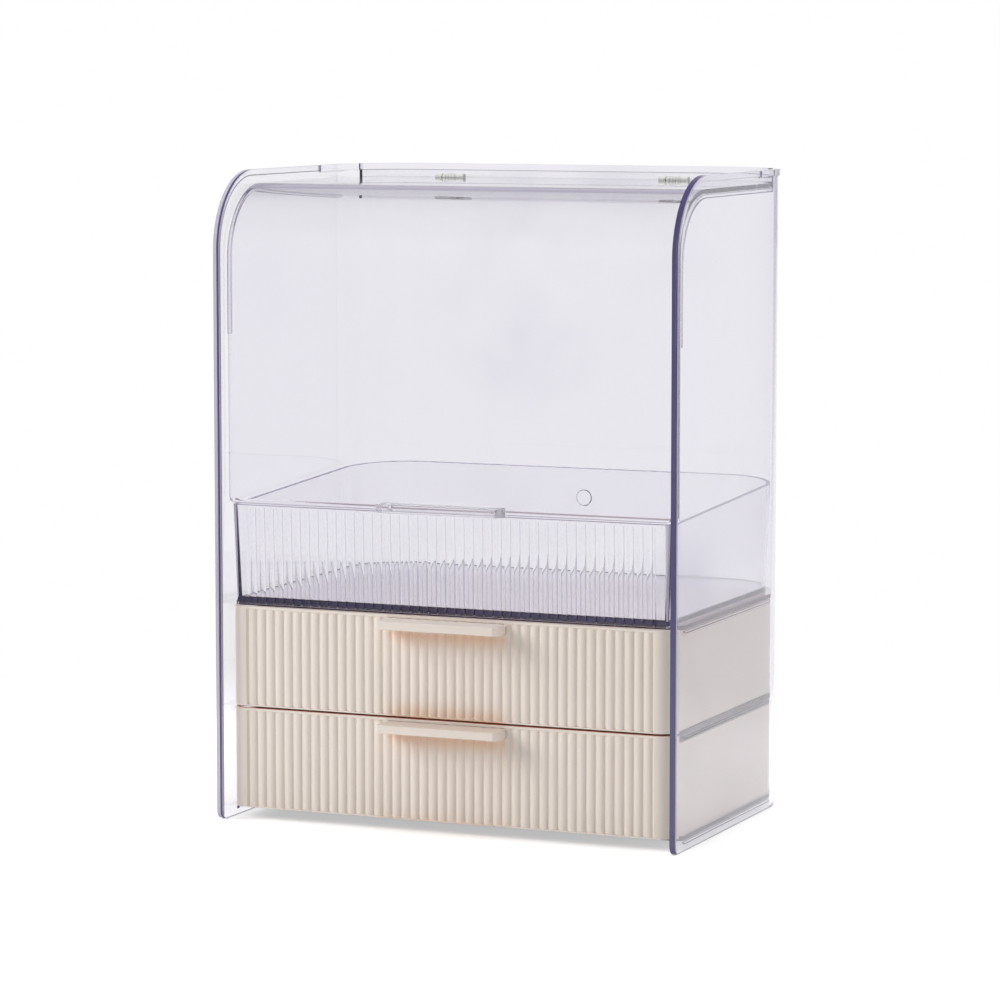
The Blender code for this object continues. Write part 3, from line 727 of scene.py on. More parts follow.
@dataclass(frozen=True)
class Palette:
    """The case's finishes, built once."""

    case: Material
    case_edge_shade: Material
    plate_edge_shade: Material
    rim_line_shade: Material
    tray: Material
    grip: Material
    tray_floor_shade: Material
    pale_edge_highlight: Material
    lower_cream: Material
    upper_cream: Material
    milky: Material

    @classmethod
    def build(cls, effects: Effects) -> "Palette":
        """Build every finish.

        Args:
            effects: The shared effects.

        Returns:
            The palette.
        """
        # The seam between the drawers, where their cream takes painted shade and a painted glow.
        seam = (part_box("lower_drawer")[1].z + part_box("upper_drawer")[0].z) / 2
        plans = {
            "case": ClearPlastic("Clear case"),
            # Painted shade: the dark violet on the side walls' edges.
            "case_edge_shade": PaintedEdgePlastic("Clear case edge"),
            # Painted shade: the dark tone on the plates' edges and on the wall of the round mould mark.
            "plate_edge_shade": PaintedEdgePlastic(
                "Clear plate edge", (0.07, 0.040, 0.065), (0.14, 0.080, 0.11), transmission=0.1, bend=1.2
            ),
            # Painted shade: the grey-violet line on the tray rim's top.
            "rim_line_shade": PaintedEdgePlastic(
                "Clear rim line", (0.32, 0.29, 0.43), (0.44, 0.41, 0.55), transmission=0.4
            ),
            "tray": ClearPlastic(
                "Clear tray", surface=(0.99, 0.988, 0.994), depth_density=9.0, bend=1.49, wave_depth=0.00002
            ),
            "grip": ClearPlastic("Clear grip", surface=(0.98, 0.975, 0.985), depth_density=1.0, haze=0.05),
            # Painted shade: a near-black violet band at the tray's floor height, for the floor's edge seen
            # through the front.
            "tray_floor_shade": PaintedEdgePlastic(
                "Clear tray edge", (0.020, 0.014, 0.055), (0.045, 0.034, 0.10), transmission=0.1
            ),
            # Painted highlight: a pale, nearly opaque tone on edges where bright light shows through.
            "pale_edge_highlight": PaintedEdgePlastic(
                "Clear rim edge", (0.58, 0.55, 0.67), (0.70, 0.67, 0.78), transmission=0.2
            ),
            "milky": HingePlastic("Milky hinge"),
        }
        # Each drawer has its own copy of the cream, so that the painted shadow falls under its own handle.
        for word in ("lower", "upper"):
            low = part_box(f"{word}_drawer_handle")[0].z
            plans[f"{word}_cream"] = CreamPlastic(f"Cream of the {word} drawer", grip_low=low, seam=seam)
        return cls(**{name: plan.build(effects) for name, plan in plans.items()})


@dataclass(frozen=True)
class Layout:
    """The planes that the pieces share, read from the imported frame, and the walls' sizes."""

    front: float
    back: float
    half_width: float
    height: float
    plate_front: float
    plate_heights: tuple[float, float, float]
    face_y: float
    hinge_y: float
    lid_top: float
    wall: float = 0.0026
    bead_proud: float = 0.0010
    bead_width: float = 0.0030
    corner_radius: float = 0.0380
    seat_gap: float = 0.0003
    sliding_gap: float = 0.0014
    corner_steps: int = 20

    @classmethod
    def read(cls) -> "Layout":
        """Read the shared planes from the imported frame.

        Returns:
            The layout.
        """
        shell_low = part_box("housing_shell")[0]
        cap_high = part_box("rear_cap")[1]
        plates = [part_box(name)[0] for name in ("bottom_plate", "middle_shelf", "upper_shelf")]
        pin_low, pin_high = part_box("left_hinge_pin")
        middle = (pin_low + pin_high) / 2
        return cls(
            front=shell_low.y, back=cap_high.y, half_width=cap_high.x, height=cap_high.z,
            plate_front=plates[0].y, plate_heights=tuple(plate.z for plate in plates),
            face_y=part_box("lower_drawer")[0].y, hinge_y=middle.y, lid_top=middle.z,
        )

    @property
    def outer_x(self) -> float:
        """Give the side wall's outer plane."""
        return self.half_width - self.bead_proud

    @property
    def inner_x(self) -> float:
        """Give the side wall's inner plane."""
        return self.outer_x - self.wall

    @property
    def outer_y(self) -> float:
        """Give the back wall's outer plane."""
        return self.back - self.bead_proud

    @property
    def inner_y(self) -> float:
        """Give the back wall's inner plane."""
        return self.outer_y - self.wall

    @property
    def inner_radius(self) -> float:
        """Give the radius inside the rear corners."""
        return self.corner_radius - self.wall

    @property
    def corner_centre(self) -> Point:
        """Give the right rear corner's centre."""
        return self.inner_x - self.inner_radius, self.inner_y - self.inner_radius

    def insert(self, clearance: float, front_y: float, front_radius: float, inset: float = 0) -> Outline:
        """Give the plan of a piece that fits the housing's inside.

        Args:
            clearance: Its gap to the walls.
            front_y: Its front plane.
            front_radius: The radius of its front corners.
            inset: How much smaller than that plan it is, all round.

        Returns:
            The outline.
        """
        half = self.inner_x - clearance - inset
        radius = self.inner_radius - clearance - inset
        small = max(front_radius - inset, self.seat_gap)
        front_corner = arc((half - small, front_y + inset + small), small, 270, 360, self.corner_steps // 2)
        right = front_corner + arc(self.corner_centre, radius, 0, 90, self.corner_steps)
        return right + mirrored(right)

    def band(self, outer_x: float, inner_x: float, back_y: float, radius: float, front_y: float) -> Outline:
        """Give the plan of a U of one thickness.

        Args:
            outer_x: The arms' outer plane.
            inner_x: The arms' inner plane.
            back_y: The back's outer plane.
            radius: The outer corner radius.
            front_y: Where the arms end.

        Returns:
            The outline.
        """
        centre = (outer_x - radius, back_y - radius)
        outer = [(outer_x, front_y)] + arc(centre, radius, 0, 90, self.corner_steps)
        inner = [(inner_x, front_y)] + arc(centre, radius - outer_x + inner_x, 0, 90, self.corner_steps)
        return outer + mirrored(outer) + mirrored(inner)[::-1] + inner[::-1]

    def walls(self, outline: Outline, inner_x: float, outer_x: float) -> tuple[Block, Block]:
        """Give a block on each side wall, from one side view."""
        return Block(outline, Axis.X, inner_x, outer_x), Block(outline, Axis.X, -outer_x, -inner_x)


@dataclass
class Housing:
    """The clear shell: left wall, back and right wall in one moulding."""

    layout: Layout
    top_front_radius: float = 0.0400
    foot_radius: float = 0.0050
    arm_depth: float = 0.0606
    rim_height: float = 0.0034
    rail_reach: float = 0.0024
    rail_thickness: float = 0.0015
    rail_drop: float = 0.0380
    lid_curve_radius: float = 0.0370
    lid_setback: float = 0.0064
    lid_thickness: float = 0.0024
    ledge_reach: float = 0.0012
    ledge_height: float = 0.0012
    ledge_setback: float = 0.0020
    gate_radius: float = 0.0042
    gate_depth: float = 0.0010
    gate_side: float = 0.0060
    gate_limit: float = 0.8
    pale_limit: float = 0.95
    edge_limit: float = 0.9
    gate_height: float = 0.1530
    # Where the painted dark shade on the wall edges stops: past the right wall's outer plane, and a middle
    # strip of the left wall's edge.
    band_past: float = 0.0005
    line_outer: float = 0.0010
    line_inner: float = 0.0022
    edge_round: float = 0.00045
    curve_steps: int = 28
    edge_steps: int = 3

    def side_view(self) -> Outline:
        """Give the case from the side: a quarter round at the top front and a small one at the foot.

        Returns:
            The outline.
        """
        lay = self.layout
        back = lay.back + OVERRUN
        top = (lay.front + self.top_front_radius, lay.height - self.top_front_radius)
        foot = (lay.front + self.foot_radius, self.foot_radius)
        curve = arc(top, self.top_front_radius, 90, 180, self.curve_steps)
        curve += arc(foot, self.foot_radius, 180, 270, self.edge_steps * 2)
        return [(back, 0), (back, lay.height)] + curve

    def bead_view(self) -> Outline:
        """Give the bead from the side, up the front edge, round the curve and along the top.

        Returns:
            The outline.
        """
        lay = self.layout
        centre = (lay.front + self.top_front_radius, lay.height - self.top_front_radius)
        back = lay.back - self.arm_depth - lay.seat_gap
        inner = arc(centre, self.top_front_radius - lay.bead_width, 180, 90, self.curve_steps)
        return (
            [(lay.front + lay.bead_width, -OVERRUN)] + inner
            + [(back, lay.height - lay.bead_width), (back, lay.height + OVERRUN)]
            + [(lay.front - OVERRUN, lay.height + OVERRUN), (lay.front - OVERRUN, -OVERRUN)]
        )

    def rail_view(self) -> Outline:
        """Give the rail under the lid's edge from the side; it follows the lid's curve.

        Returns:
            The outline.
        """
        lay = self.layout
        centre = (lay.front + self.lid_setback + self.lid_curve_radius, lay.lid_top - self.lid_curve_radius)
        outer = self.lid_curve_radius - self.lid_thickness - lay.seat_gap
        inner = outer - self.rail_thickness
        low = centre[1] - self.rail_drop
        back = lay.corner_centre[1]
        return (
            [(back, centre[1] + outer)] + arc(centre, outer, 90, 180, self.curve_steps)
            + [(centre[0] - outer, low), (centre[0] - inner, low)]
            + arc(centre, inner, 180, 90, self.curve_steps) + [(back, centre[1] + inner)]
        )

    def ledges(self) -> list[Block]:
        """Give the ledges under the shelf plates, one on each wall at each level.

        Returns:
            The blocks.
        """
        lay = self.layout
        blocks: list[Block] = []
        for height in lay.plate_heights:
            top = height - lay.seat_gap
            view = rectangle(
                lay.plate_front + self.ledge_setback, lay.corner_centre[1], top - self.ledge_height, top
            )
            blocks.extend(lay.walls(view, lay.inner_x - self.ledge_reach, lay.inner_x + EMBED))
        return blocks

    def build(self, material: Material, edge: Material, pale: Material, ring: Material) -> Item:
        """Build the shell.

        Args:
            material: Its finish.
            edge: The painted dark shade on the side walls' edges.
            pale: The painted pale highlight on the edges' outer part.
            ring: The painted dark shade on the wall of the round mould mark.

        Returns:
            The piece.
        """
        lay = self.layout
        plan = lay.band(lay.outer_x, lay.inner_x, lay.outer_y, lay.corner_radius, lay.front - OVERRUN)
        shell = Solid("housing_moulding", Block(plan, Axis.Z, -OVERRUN, lay.height + OVERRUN))
        shell.join(*lay.walls(self.bead_view(), lay.outer_x - EMBED, lay.half_width))
        shell.trim(Block(self.side_view(), Axis.X, -lay.half_width - OVERRUN, lay.half_width + OVERRUN))
        rails = lay.walls(self.rail_view(), lay.inner_x - self.rail_reach, lay.inner_x + EMBED)
        shell.join(*rails, *self.ledges())
        arm_y = lay.back - self.arm_depth - lay.seat_gap
        rim_low = lay.height - self.rim_height - lay.seat_gap
        seat = rectangle(arm_y, lay.back + OVERRUN, rim_low, lay.height + OVERRUN)
        shell.cut(Block(seat, Axis.X, -lay.half_width - OVERRUN, lay.half_width + OVERRUN))
        gate = circle((self.gate_side, self.gate_height), self.gate_radius, self.curve_steps)
        shell.cut(Block(gate, Axis.Y, lay.outer_y - self.gate_depth, lay.back + OVERRUN))
        shell.soften(self.edge_round, self.edge_steps)
        # Split the edges where the painted pale highlight and the painted dark shade meet.
        shell.split(Vector((1, 0, 0)), lay.outer_x + self.band_past)
        shell.split(Vector((-1, 0, 0)), lay.outer_x - self.line_outer)
        shell.split(Vector((-1, 0, 0)), lay.outer_x - self.line_inner)
        tests = ((pale, self.is_pale), (edge, self.is_edge), (ring, self.is_gate_ring))
        edges = [EdgeFinish(*test) for test in tests]
        return shell.dress(Body.CASE, Slot.CLEAR_CASE, "housing_shell", material, *edges)

    def is_gate_ring(self, middle: Vector, normal: Vector) -> bool:
        """Say whether a face is the wall of the round mould mark, which is painted dark as shade.

        Args:
            middle: The face's middle.
            normal: The face's direction.

        Returns:
            Whether it is.
        """
        apart = math.hypot(middle.x - self.gate_side, middle.z - self.gate_height)
        close = apart < self.gate_radius + self.edge_round
        return close and middle.y > self.layout.inner_y and abs(normal.y) < self.gate_limit

    def is_pale(self, middle: Vector, normal: Vector) -> bool:
        """Say whether a face is any part of a side wall's edge, the bead too; it is painted a pale highlight
        where the painted dark shade doesn't lie over it.

        Args:
            middle: The face's middle.
            normal: The face's direction.

        Returns:
            Whether it is.
        """
        lay = self.layout
        here = abs(middle.x) > lay.inner_x and middle.y < lay.corner_centre[1]
        return here and abs(normal.x) < self.pale_limit

    def is_edge(self, middle: Vector, normal: Vector) -> bool:
        """Say whether a face takes the painted dark shade: the right wall's edge with the inner half of its
        bead, and a middle strip of the left wall's edge.

        Args:
            middle: The face's middle.
            normal: The face's direction.

        Returns:
            Whether it is.
        """
        lay = self.layout
        in_left_wall = lay.outer_x - self.line_inner < -middle.x < lay.outer_x - self.line_outer
        in_wall = in_left_wall or lay.inner_x < middle.x < lay.outer_x + self.band_past
        return in_wall and middle.y < lay.corner_centre[1] and abs(normal.x) < self.edge_limit


@dataclass
class Shelves:
    """The bottom plate and the two shelves."""

    layout: Layout
    thickness: float = 0.0024
    front_radius: float = 0.0030
    edge_limit: float = 0.7
    edge_round: float = 0.0003
    edge_steps: int = 2

    def build(self, material: Material, edge: Material) -> list[Item]:
        """Build the three plates.

        Args:
            material: Their finish.
            edge: The painted dark shade on their edges.

        Returns:
            The pieces.
        """
        lay = self.layout
        plan = lay.insert(lay.seat_gap, lay.plate_front, self.front_radius)
        pieces = []
        names = {"bottom_plate": "floor_plate", "middle_shelf": "drawer_shelf", "upper_shelf": "tray_shelf"}
        for (node, name), height in zip(names.items(), lay.plate_heights):
            plate = Solid(name, Block(plan, Axis.Z, height, height + self.thickness))
            plate.soften(self.edge_round, self.edge_steps)
            # The plates' edges are painted dark as shade.
            finish = EdgeFinish(edge, lambda middle, normal: abs(normal.z) < self.edge_limit)
            pieces.append(plate.dress(Body.CASE, Slot.CLEAR_CASE, node, material, finish))
        return pieces


@dataclass
class RibbedFace:
    """Round ribs with narrow valleys between them, as a plan of what is cut from a front."""

    half_room: float
    pitch: float = 0.0050
    width: float = 0.0044
    valley_depth: float = 0.0010
    crest_depth: float = 0.0001
    fullness: float = 1.0
    end_slope: float = 0.0070
    steps: int = 10

    def plan(self, face_y: float) -> Outline:
        """Give the cut's plan.

        Args:
            face_y: The plane of the face.

        Returns:
            The outline.
        """
        count = int(2 * self.half_room / self.pitch + WELD_DISTANCE)
        end = count * self.pitch / 2
        valley = face_y + self.valley_depth
        rise = self.valley_depth - self.crest_depth
        outer = end + self.end_slope
        points = [(outer, face_y - OVERRUN), (-outer, face_y - OVERRUN), (-end, valley)]
        for index in range(count):
            centre = (index + 0.5) * self.pitch - end
            for step in range(self.steps + 1):
                turn = math.pi * step / self.steps
                across = centre - self.width / 2 * math.cos(turn)
                points.append((across, valley - rise * math.sin(turn) ** self.fullness))
        return points + [(end, valley)]


@dataclass
class Handle:
    """A bar, thicker at its root, with two hidden pegs behind it."""

    width: float = 0.0650
    front_height: float = 0.0042
    root_height: float = 0.0054
    corner_radius: float = 0.0018
    peg_radius: float = 0.0010
    peg_spacing: float = 0.0560
    peg_drop: float = 0.0022
    seat_gap: float = 0.0003
    edge_round: float = 0.0006
    corner_steps: int = 8
    edge_steps: int = 3

    def pegs(self, height: float, radius: float, low: float, high: float) -> list[Block]:
        """Give the two pegs, or their holes, as blocks along Y."""
        places = [(side * self.peg_spacing / 2, height) for side in (-1, 1)]
        return [Block(circle(place, radius, self.corner_steps * 2), Axis.Y, low, high) for place in places]

    def build(self, name: str, root: Point, reach: float, peg_length: float) -> Solid:
        """Build the bar where it sits.

        Args:
            name: The piece's name.
            root: The Y and Z of its root's upper edge.
            reach: How far it stands out.
            peg_length: How far its pegs go into the front behind it.

        Returns:
            The solid, without its finish.
        """
        root_y, top = root[0] - self.seat_gap, root[1]
        tip = root[0] - reach
        side = [(root_y, top), (tip, top), (tip, top - self.front_height), (root_y, top - self.root_height)]
        bar = Solid(name, Block(side, Axis.X, -self.width, self.width))
        corner = (self.width / 2 - self.corner_radius, tip + self.corner_radius)
        right = arc(corner, self.corner_radius, 270, 360, self.corner_steps)
        right.append((self.width / 2, root[0] + reach))
        bar.trim(Block(right + mirrored(right), Axis.Z, top - self.width, top + self.width))
        bar.soften(self.edge_round, self.edge_steps)
        bar.join(*self.pegs(top - self.peg_drop, self.peg_radius, root_y - EMBED, root[0] + peg_length))
        return bar


@dataclass
class Drawer:
    """A cream box with round corners, a ribbed front and a handle."""

    layout: Layout
    body: Body
    plate_index: int
    front_height: float = 0.0512
    front_drop: float = 0.0011
    side_height: float = 0.0462
    wall: float = 0.0018
    front_wall: float = 0.0025
    floor: float = 0.0018
    front_radius: float = 0.0080
    shelf_clearance: float = 0.0010
    plate_thickness: float = 0.0024
    rib_top_margin: float = 0.0013
    rib_bottom_margin: float = 0.0008
    rib_end_margin: float = 0.0100
    rib_fullness: float = 1.5
    handle_drop: float = 0.0015
    handle_reach: float = 0.0145
    edge_round: float = 0.0005
    edge_steps: int = 3

    def build(self, material: Material) -> list[Item]:
        """Build the drawer and its handle.

        Args:
            material: Their finish.

        Returns:
            The pieces.
        """
        lay = self.layout
        box_low = lay.plate_heights[self.plate_index] + self.plate_thickness + lay.seat_gap
        low = box_low - self.front_drop
        top = low + self.front_height
        inner_front = lay.plate_front - self.shelf_clearance
        outer = lay.insert(lay.sliding_gap, lay.face_y, self.front_radius)
        hollow_front = lay.face_y + self.front_wall - self.wall
        hollow = lay.insert(lay.sliding_gap, hollow_front, self.front_radius, self.wall)
        box = Solid(f"{self.body.value}_box", Block(outer, Axis.Z, low, top))
        box.cut(Block(hollow, Axis.Z, box_low + self.floor, top + OVERRUN))
        behind = rectangle(-lay.half_width, lay.half_width, inner_front, lay.back + OVERRUN)
        box.cut(
            Block(behind, Axis.Z, low - OVERRUN, box_low),
            Block(behind, Axis.Z, box_low + self.side_height, top + OVERRUN),
        )
        box.soften(self.edge_round, self.edge_steps)
        ribs = RibbedFace(lay.inner_x - lay.sliding_gap - self.rib_end_margin, fullness=self.rib_fullness)
        levels = (low + self.rib_bottom_margin, top - self.rib_top_margin)
        box.cut(Block(ribs.plan(lay.face_y), Axis.Z, *levels))
        bar = Handle()
        holes = bar.pegs(
            top - self.handle_drop - bar.peg_drop, bar.peg_radius + lay.seat_gap,
            lay.face_y - OVERRUN, inner_front + EMBED,
        )
        box.cut(*holes)
        name = f"{self.body.value}_grip"
        grip = bar.build(name, (lay.face_y, top - self.handle_drop), self.handle_reach, self.front_wall)
        node = self.body.value
        return [
            box.dress(self.body, Slot.CREAM, node, material),
            grip.dress(self.body, Slot.CREAM, f"{node}_handle", material),
        ]


@dataclass
class Tray:
    """The open display tray: drafted walls, a ribbed front and a rim that rises towards the back."""

    layout: Layout
    front_height: float = 0.0496
    back_height: float = 0.0576
    front_drop: float = 0.0014
    front_radius: float = 0.0035
    side_gap: float = 0.0019
    wall: float = 0.0022
    floor: float = 0.0024
    draft: float = 0.0024
    shelf_clearance: float = 0.0010
    plate_thickness: float = 0.0024
    rib_top_margin: float = 0.0014
    rib_end_margin: float = 0.0100
    rib_width: float = 0.0034
    rib_fullness: float = 0.7
    rim_limit: float = 0.5
    edge_limit: float = 0.9
    corner_limits: Point = (-0.1, 0.85)
    edge_round: float = 0.0007
    edge_steps: int = 4

    def build(self, material: Material, edge: Material, rim: Material, line: Material) -> Item:
        """Build the tray.

        Args:
            material: Its finish.
            edge: The painted dark shade on its outside at the floor's height, for the floor's edge seen
                through the walls.
            rim: The painted pale highlight on its front corners.
            line: The painted grey-violet line of shade on its rim's top.

        Returns:
            The piece.
        """
        lay = self.layout
        base = lay.plate_heights[2] + self.plate_thickness + lay.seat_gap
        low = base - self.front_drop
        high = base + self.back_height + OVERRUN
        plans = [
            lay.insert(self.side_gap, lay.face_y, self.front_radius, inset)
            for inset in (self.draft, 0, self.wall + self.draft, self.wall)
        ]
        tray = Solid("ribbed_tray", Block(plans[0], Axis.Z, low, high, plans[1]))
        tray.cut(Block(plans[2], Axis.Z, base + self.floor, high + EMBED, plans[3]))
        inner_front = lay.plate_front - self.shelf_clearance
        behind = rectangle(-lay.half_width, lay.half_width, inner_front, lay.back + OVERRUN)
        tray.cut(Block(behind, Axis.Z, low - OVERRUN, base))
        front, back = lay.face_y - OVERRUN, lay.inner_y + OVERRUN
        slope = (self.back_height - self.front_height) / (lay.inner_y - lay.face_y)
        rim_front = base + self.front_height - slope * OVERRUN
        rim_back = base + self.back_height + slope * OVERRUN
        above = [(front, rim_front), (back, rim_back), (back, lay.height), (front, lay.height)]
        tray.cut(Block(above, Axis.X, -lay.half_width, lay.half_width))
        tray.soften(self.edge_round, self.edge_steps)
        for side in (-1, 1):
            tray.split(Vector((side, 0, 0)), self.corner_start)
        ribs = RibbedFace(
            lay.inner_x - lay.sliding_gap - self.rib_end_margin,
            width=self.rib_width,
            fullness=self.rib_fullness,
        )
        lean = self.draft / (high - low)
        levels = (low - OVERRUN, base + self.front_height - self.rib_top_margin)
        lower, upper = [ribs.plan(lay.face_y + lean * (high - level)) for level in levels]
        tray.cut(Block(lower, Axis.Z, levels[0], levels[1], upper))
        # The band at the floor's height is split off so that its outside can be painted dark as shade.
        levels = (base - lay.seat_gap, base + self.floor - lay.seat_gap)
        for level in levels:
            tray.split(Vector((0, 0, 1)), level)
        # The rim's top faces are painted a grey-violet line of shade.
        rim_low = base + self.front_height - EMBED
        corner = EdgeFinish(rim, self.is_corner)
        rim_line = EdgeFinish(line, lambda middle, normal: normal.z > self.rim_limit and middle.z > rim_low)
        floor_band_shade = EdgeFinish(
            edge,
            lambda middle, normal: levels[0] < middle.z < levels[1] and abs(normal.z) < self.edge_limit,
        )
        return tray.dress(Body.CASE, Slot.CLEAR_TRAY, "display_tray", material, corner, rim_line, floor_band_shade)

    @property
    def corner_start(self) -> float:
        """Give how far from the middle the front corners start."""
        return self.layout.inner_x - self.side_gap - self.wall - self.draft / 2

    def is_corner(self, middle: Vector, normal: Vector) -> bool:
        """Say whether a face belongs to the round front corners, their outermost strip left out; these are
        painted a pale highlight.

        Args:
            middle: The face's middle.
            normal: The face's direction.

        Returns:
            Whether it does.
        """
        ahead = middle.y < self.layout.face_y + self.draft + self.front_radius
        turned = normal.y < self.corner_limits[0] and abs(normal.x) < self.corner_limits[1]
        return ahead and turned and abs(middle.x) > self.corner_start


@dataclass
class Hinges:
    """Two hinges, each with a lid leaf, a cap leaf and the pin through both."""

    layout: Layout
    spacing: float = 0.1268
    length: float = 0.0162
    radius: float = 0.0023
    middle_length: float = 0.0078
    notch_clearance: float = 0.0005
    sheet: float = 0.0024
    leaf_thickness: float = 0.0012
    leaf_length: float = 0.0110
    web_front: float = 0.0012
    web_back: float = 0.0004
    leaf_gap: float = 0.0006
    pin_radius: float = 0.0008
    ridges: int = 4
    ridge_depth: float = 0.0003
    barrel_steps: int = 32
    edge_round: float = 0.0002
    edge_steps: int = 2

    def notches(self) -> list[Block]:
        """Give the openings through the lid and the rear cap, where the barrels stand.

        Returns:
            The blocks.
        """
        lay = self.layout
        half = self.length / 2 + self.notch_clearance
        reach = self.radius + self.notch_clearance
        blocks = []
        for side in (-1, 1):
            centre = side * self.spacing / 2
            view = rectangle(centre - half, centre + half, lay.hinge_y - reach, lay.hinge_y + reach)
            blocks.append(Block(view, Axis.Z, lay.lid_top - self.sheet - EMBED, lay.height))
        return blocks

    def barrel(self, radius: float) -> Outline:
        """Give the side view of a round part about the hinge's axis."""
        return circle((self.layout.hinge_y, self.layout.lid_top), radius, self.barrel_steps)

    def leaf_view(self, side: int) -> Outline:
        """Give the side view of a leaf: a web under the barrel and a plate under the sheet.

        Args:
            side: Which way it points; -1 is the lid's.

        Returns:
            The outline.
        """
        lay = self.layout
        top = lay.lid_top - self.sheet - lay.seat_gap
        bottom = top - self.leaf_thickness
        front, back = lay.hinge_y + side * self.web_front, lay.hinge_y - side * self.web_back
        far = lay.hinge_y + side * self.leaf_length
        under = [(back, bottom), (far, bottom), (far, top), (front, top)]
        return [(back, lay.lid_top), *under, (front, lay.lid_top)]

    def across(self, outline: Outline, centre: float, inner: float, outer: float) -> list[Block]:
        """Give a block on each side of a hinge's middle."""
        return [
            Block(outline, Axis.X, centre + inner, centre + outer),
            Block(outline, Axis.X, centre - outer, centre - inner),
        ]

    def build(self, material: Material) -> list[Item]:
        """Build both hinges.

        Args:
            material: Their finish.

        Returns:
            The pieces.
        """
        lay = self.layout
        pieces = []
        half, middle = self.length / 2, self.middle_length / 2
        inner = middle + lay.seat_gap
        hole_radius = self.pin_radius + lay.seat_gap
        top = lay.lid_top - self.sheet - lay.seat_gap
        plate = rectangle(
            lay.hinge_y + self.web_back + self.leaf_gap, lay.hinge_y + self.leaf_length,
            top - self.leaf_thickness, top,
        )
        for side, word in ((-1, "left"), (1, "right")):
            x = side * self.spacing / 2
            hole = Block(self.barrel(hole_radius), Axis.X, x - self.length, x + self.length)
            core = Block(self.barrel(self.radius - self.ridge_depth), Axis.X, x - middle, x + middle)
            moving = Solid(f"{word}_ridged_knuckle", core)
            step = self.middle_length / (2 * self.ridges + 1)
            starts = [x - middle + (2 * index + 1) * step for index in range(self.ridges)]
            moving.join(*[Block(self.barrel(self.radius), Axis.X, start, start + step) for start in starts])
            moving.join(Block(self.leaf_view(-1), Axis.X, x - middle, x + middle))
            moving.cut(hole)
            fixed = Solid(f"{word}_end_knuckles", *self.across(self.barrel(self.radius), x, inner, half))
            fixed.join(*self.across(self.leaf_view(1), x, inner, half))
            fixed.join(Block(plate, Axis.X, x - half, x + half))
            fixed.cut(hole)
            fixed.soften(self.edge_round, self.edge_steps)
            pin = Solid(f"{word}_pin", Block(self.barrel(self.pin_radius), Axis.X, x - half, x + half))
            pieces.append(moving.dress(Body.LID, Slot.HINGE, f"{word}_hinge_lid_leaf", material))
            pieces.append(fixed.dress(Body.CASE, Slot.HINGE, f"{word}_hinge_cap_leaf", material))
            pieces.append(pin.dress(Body.CASE, Slot.HINGE, f"{word}_hinge_pin", material))
        return pieces


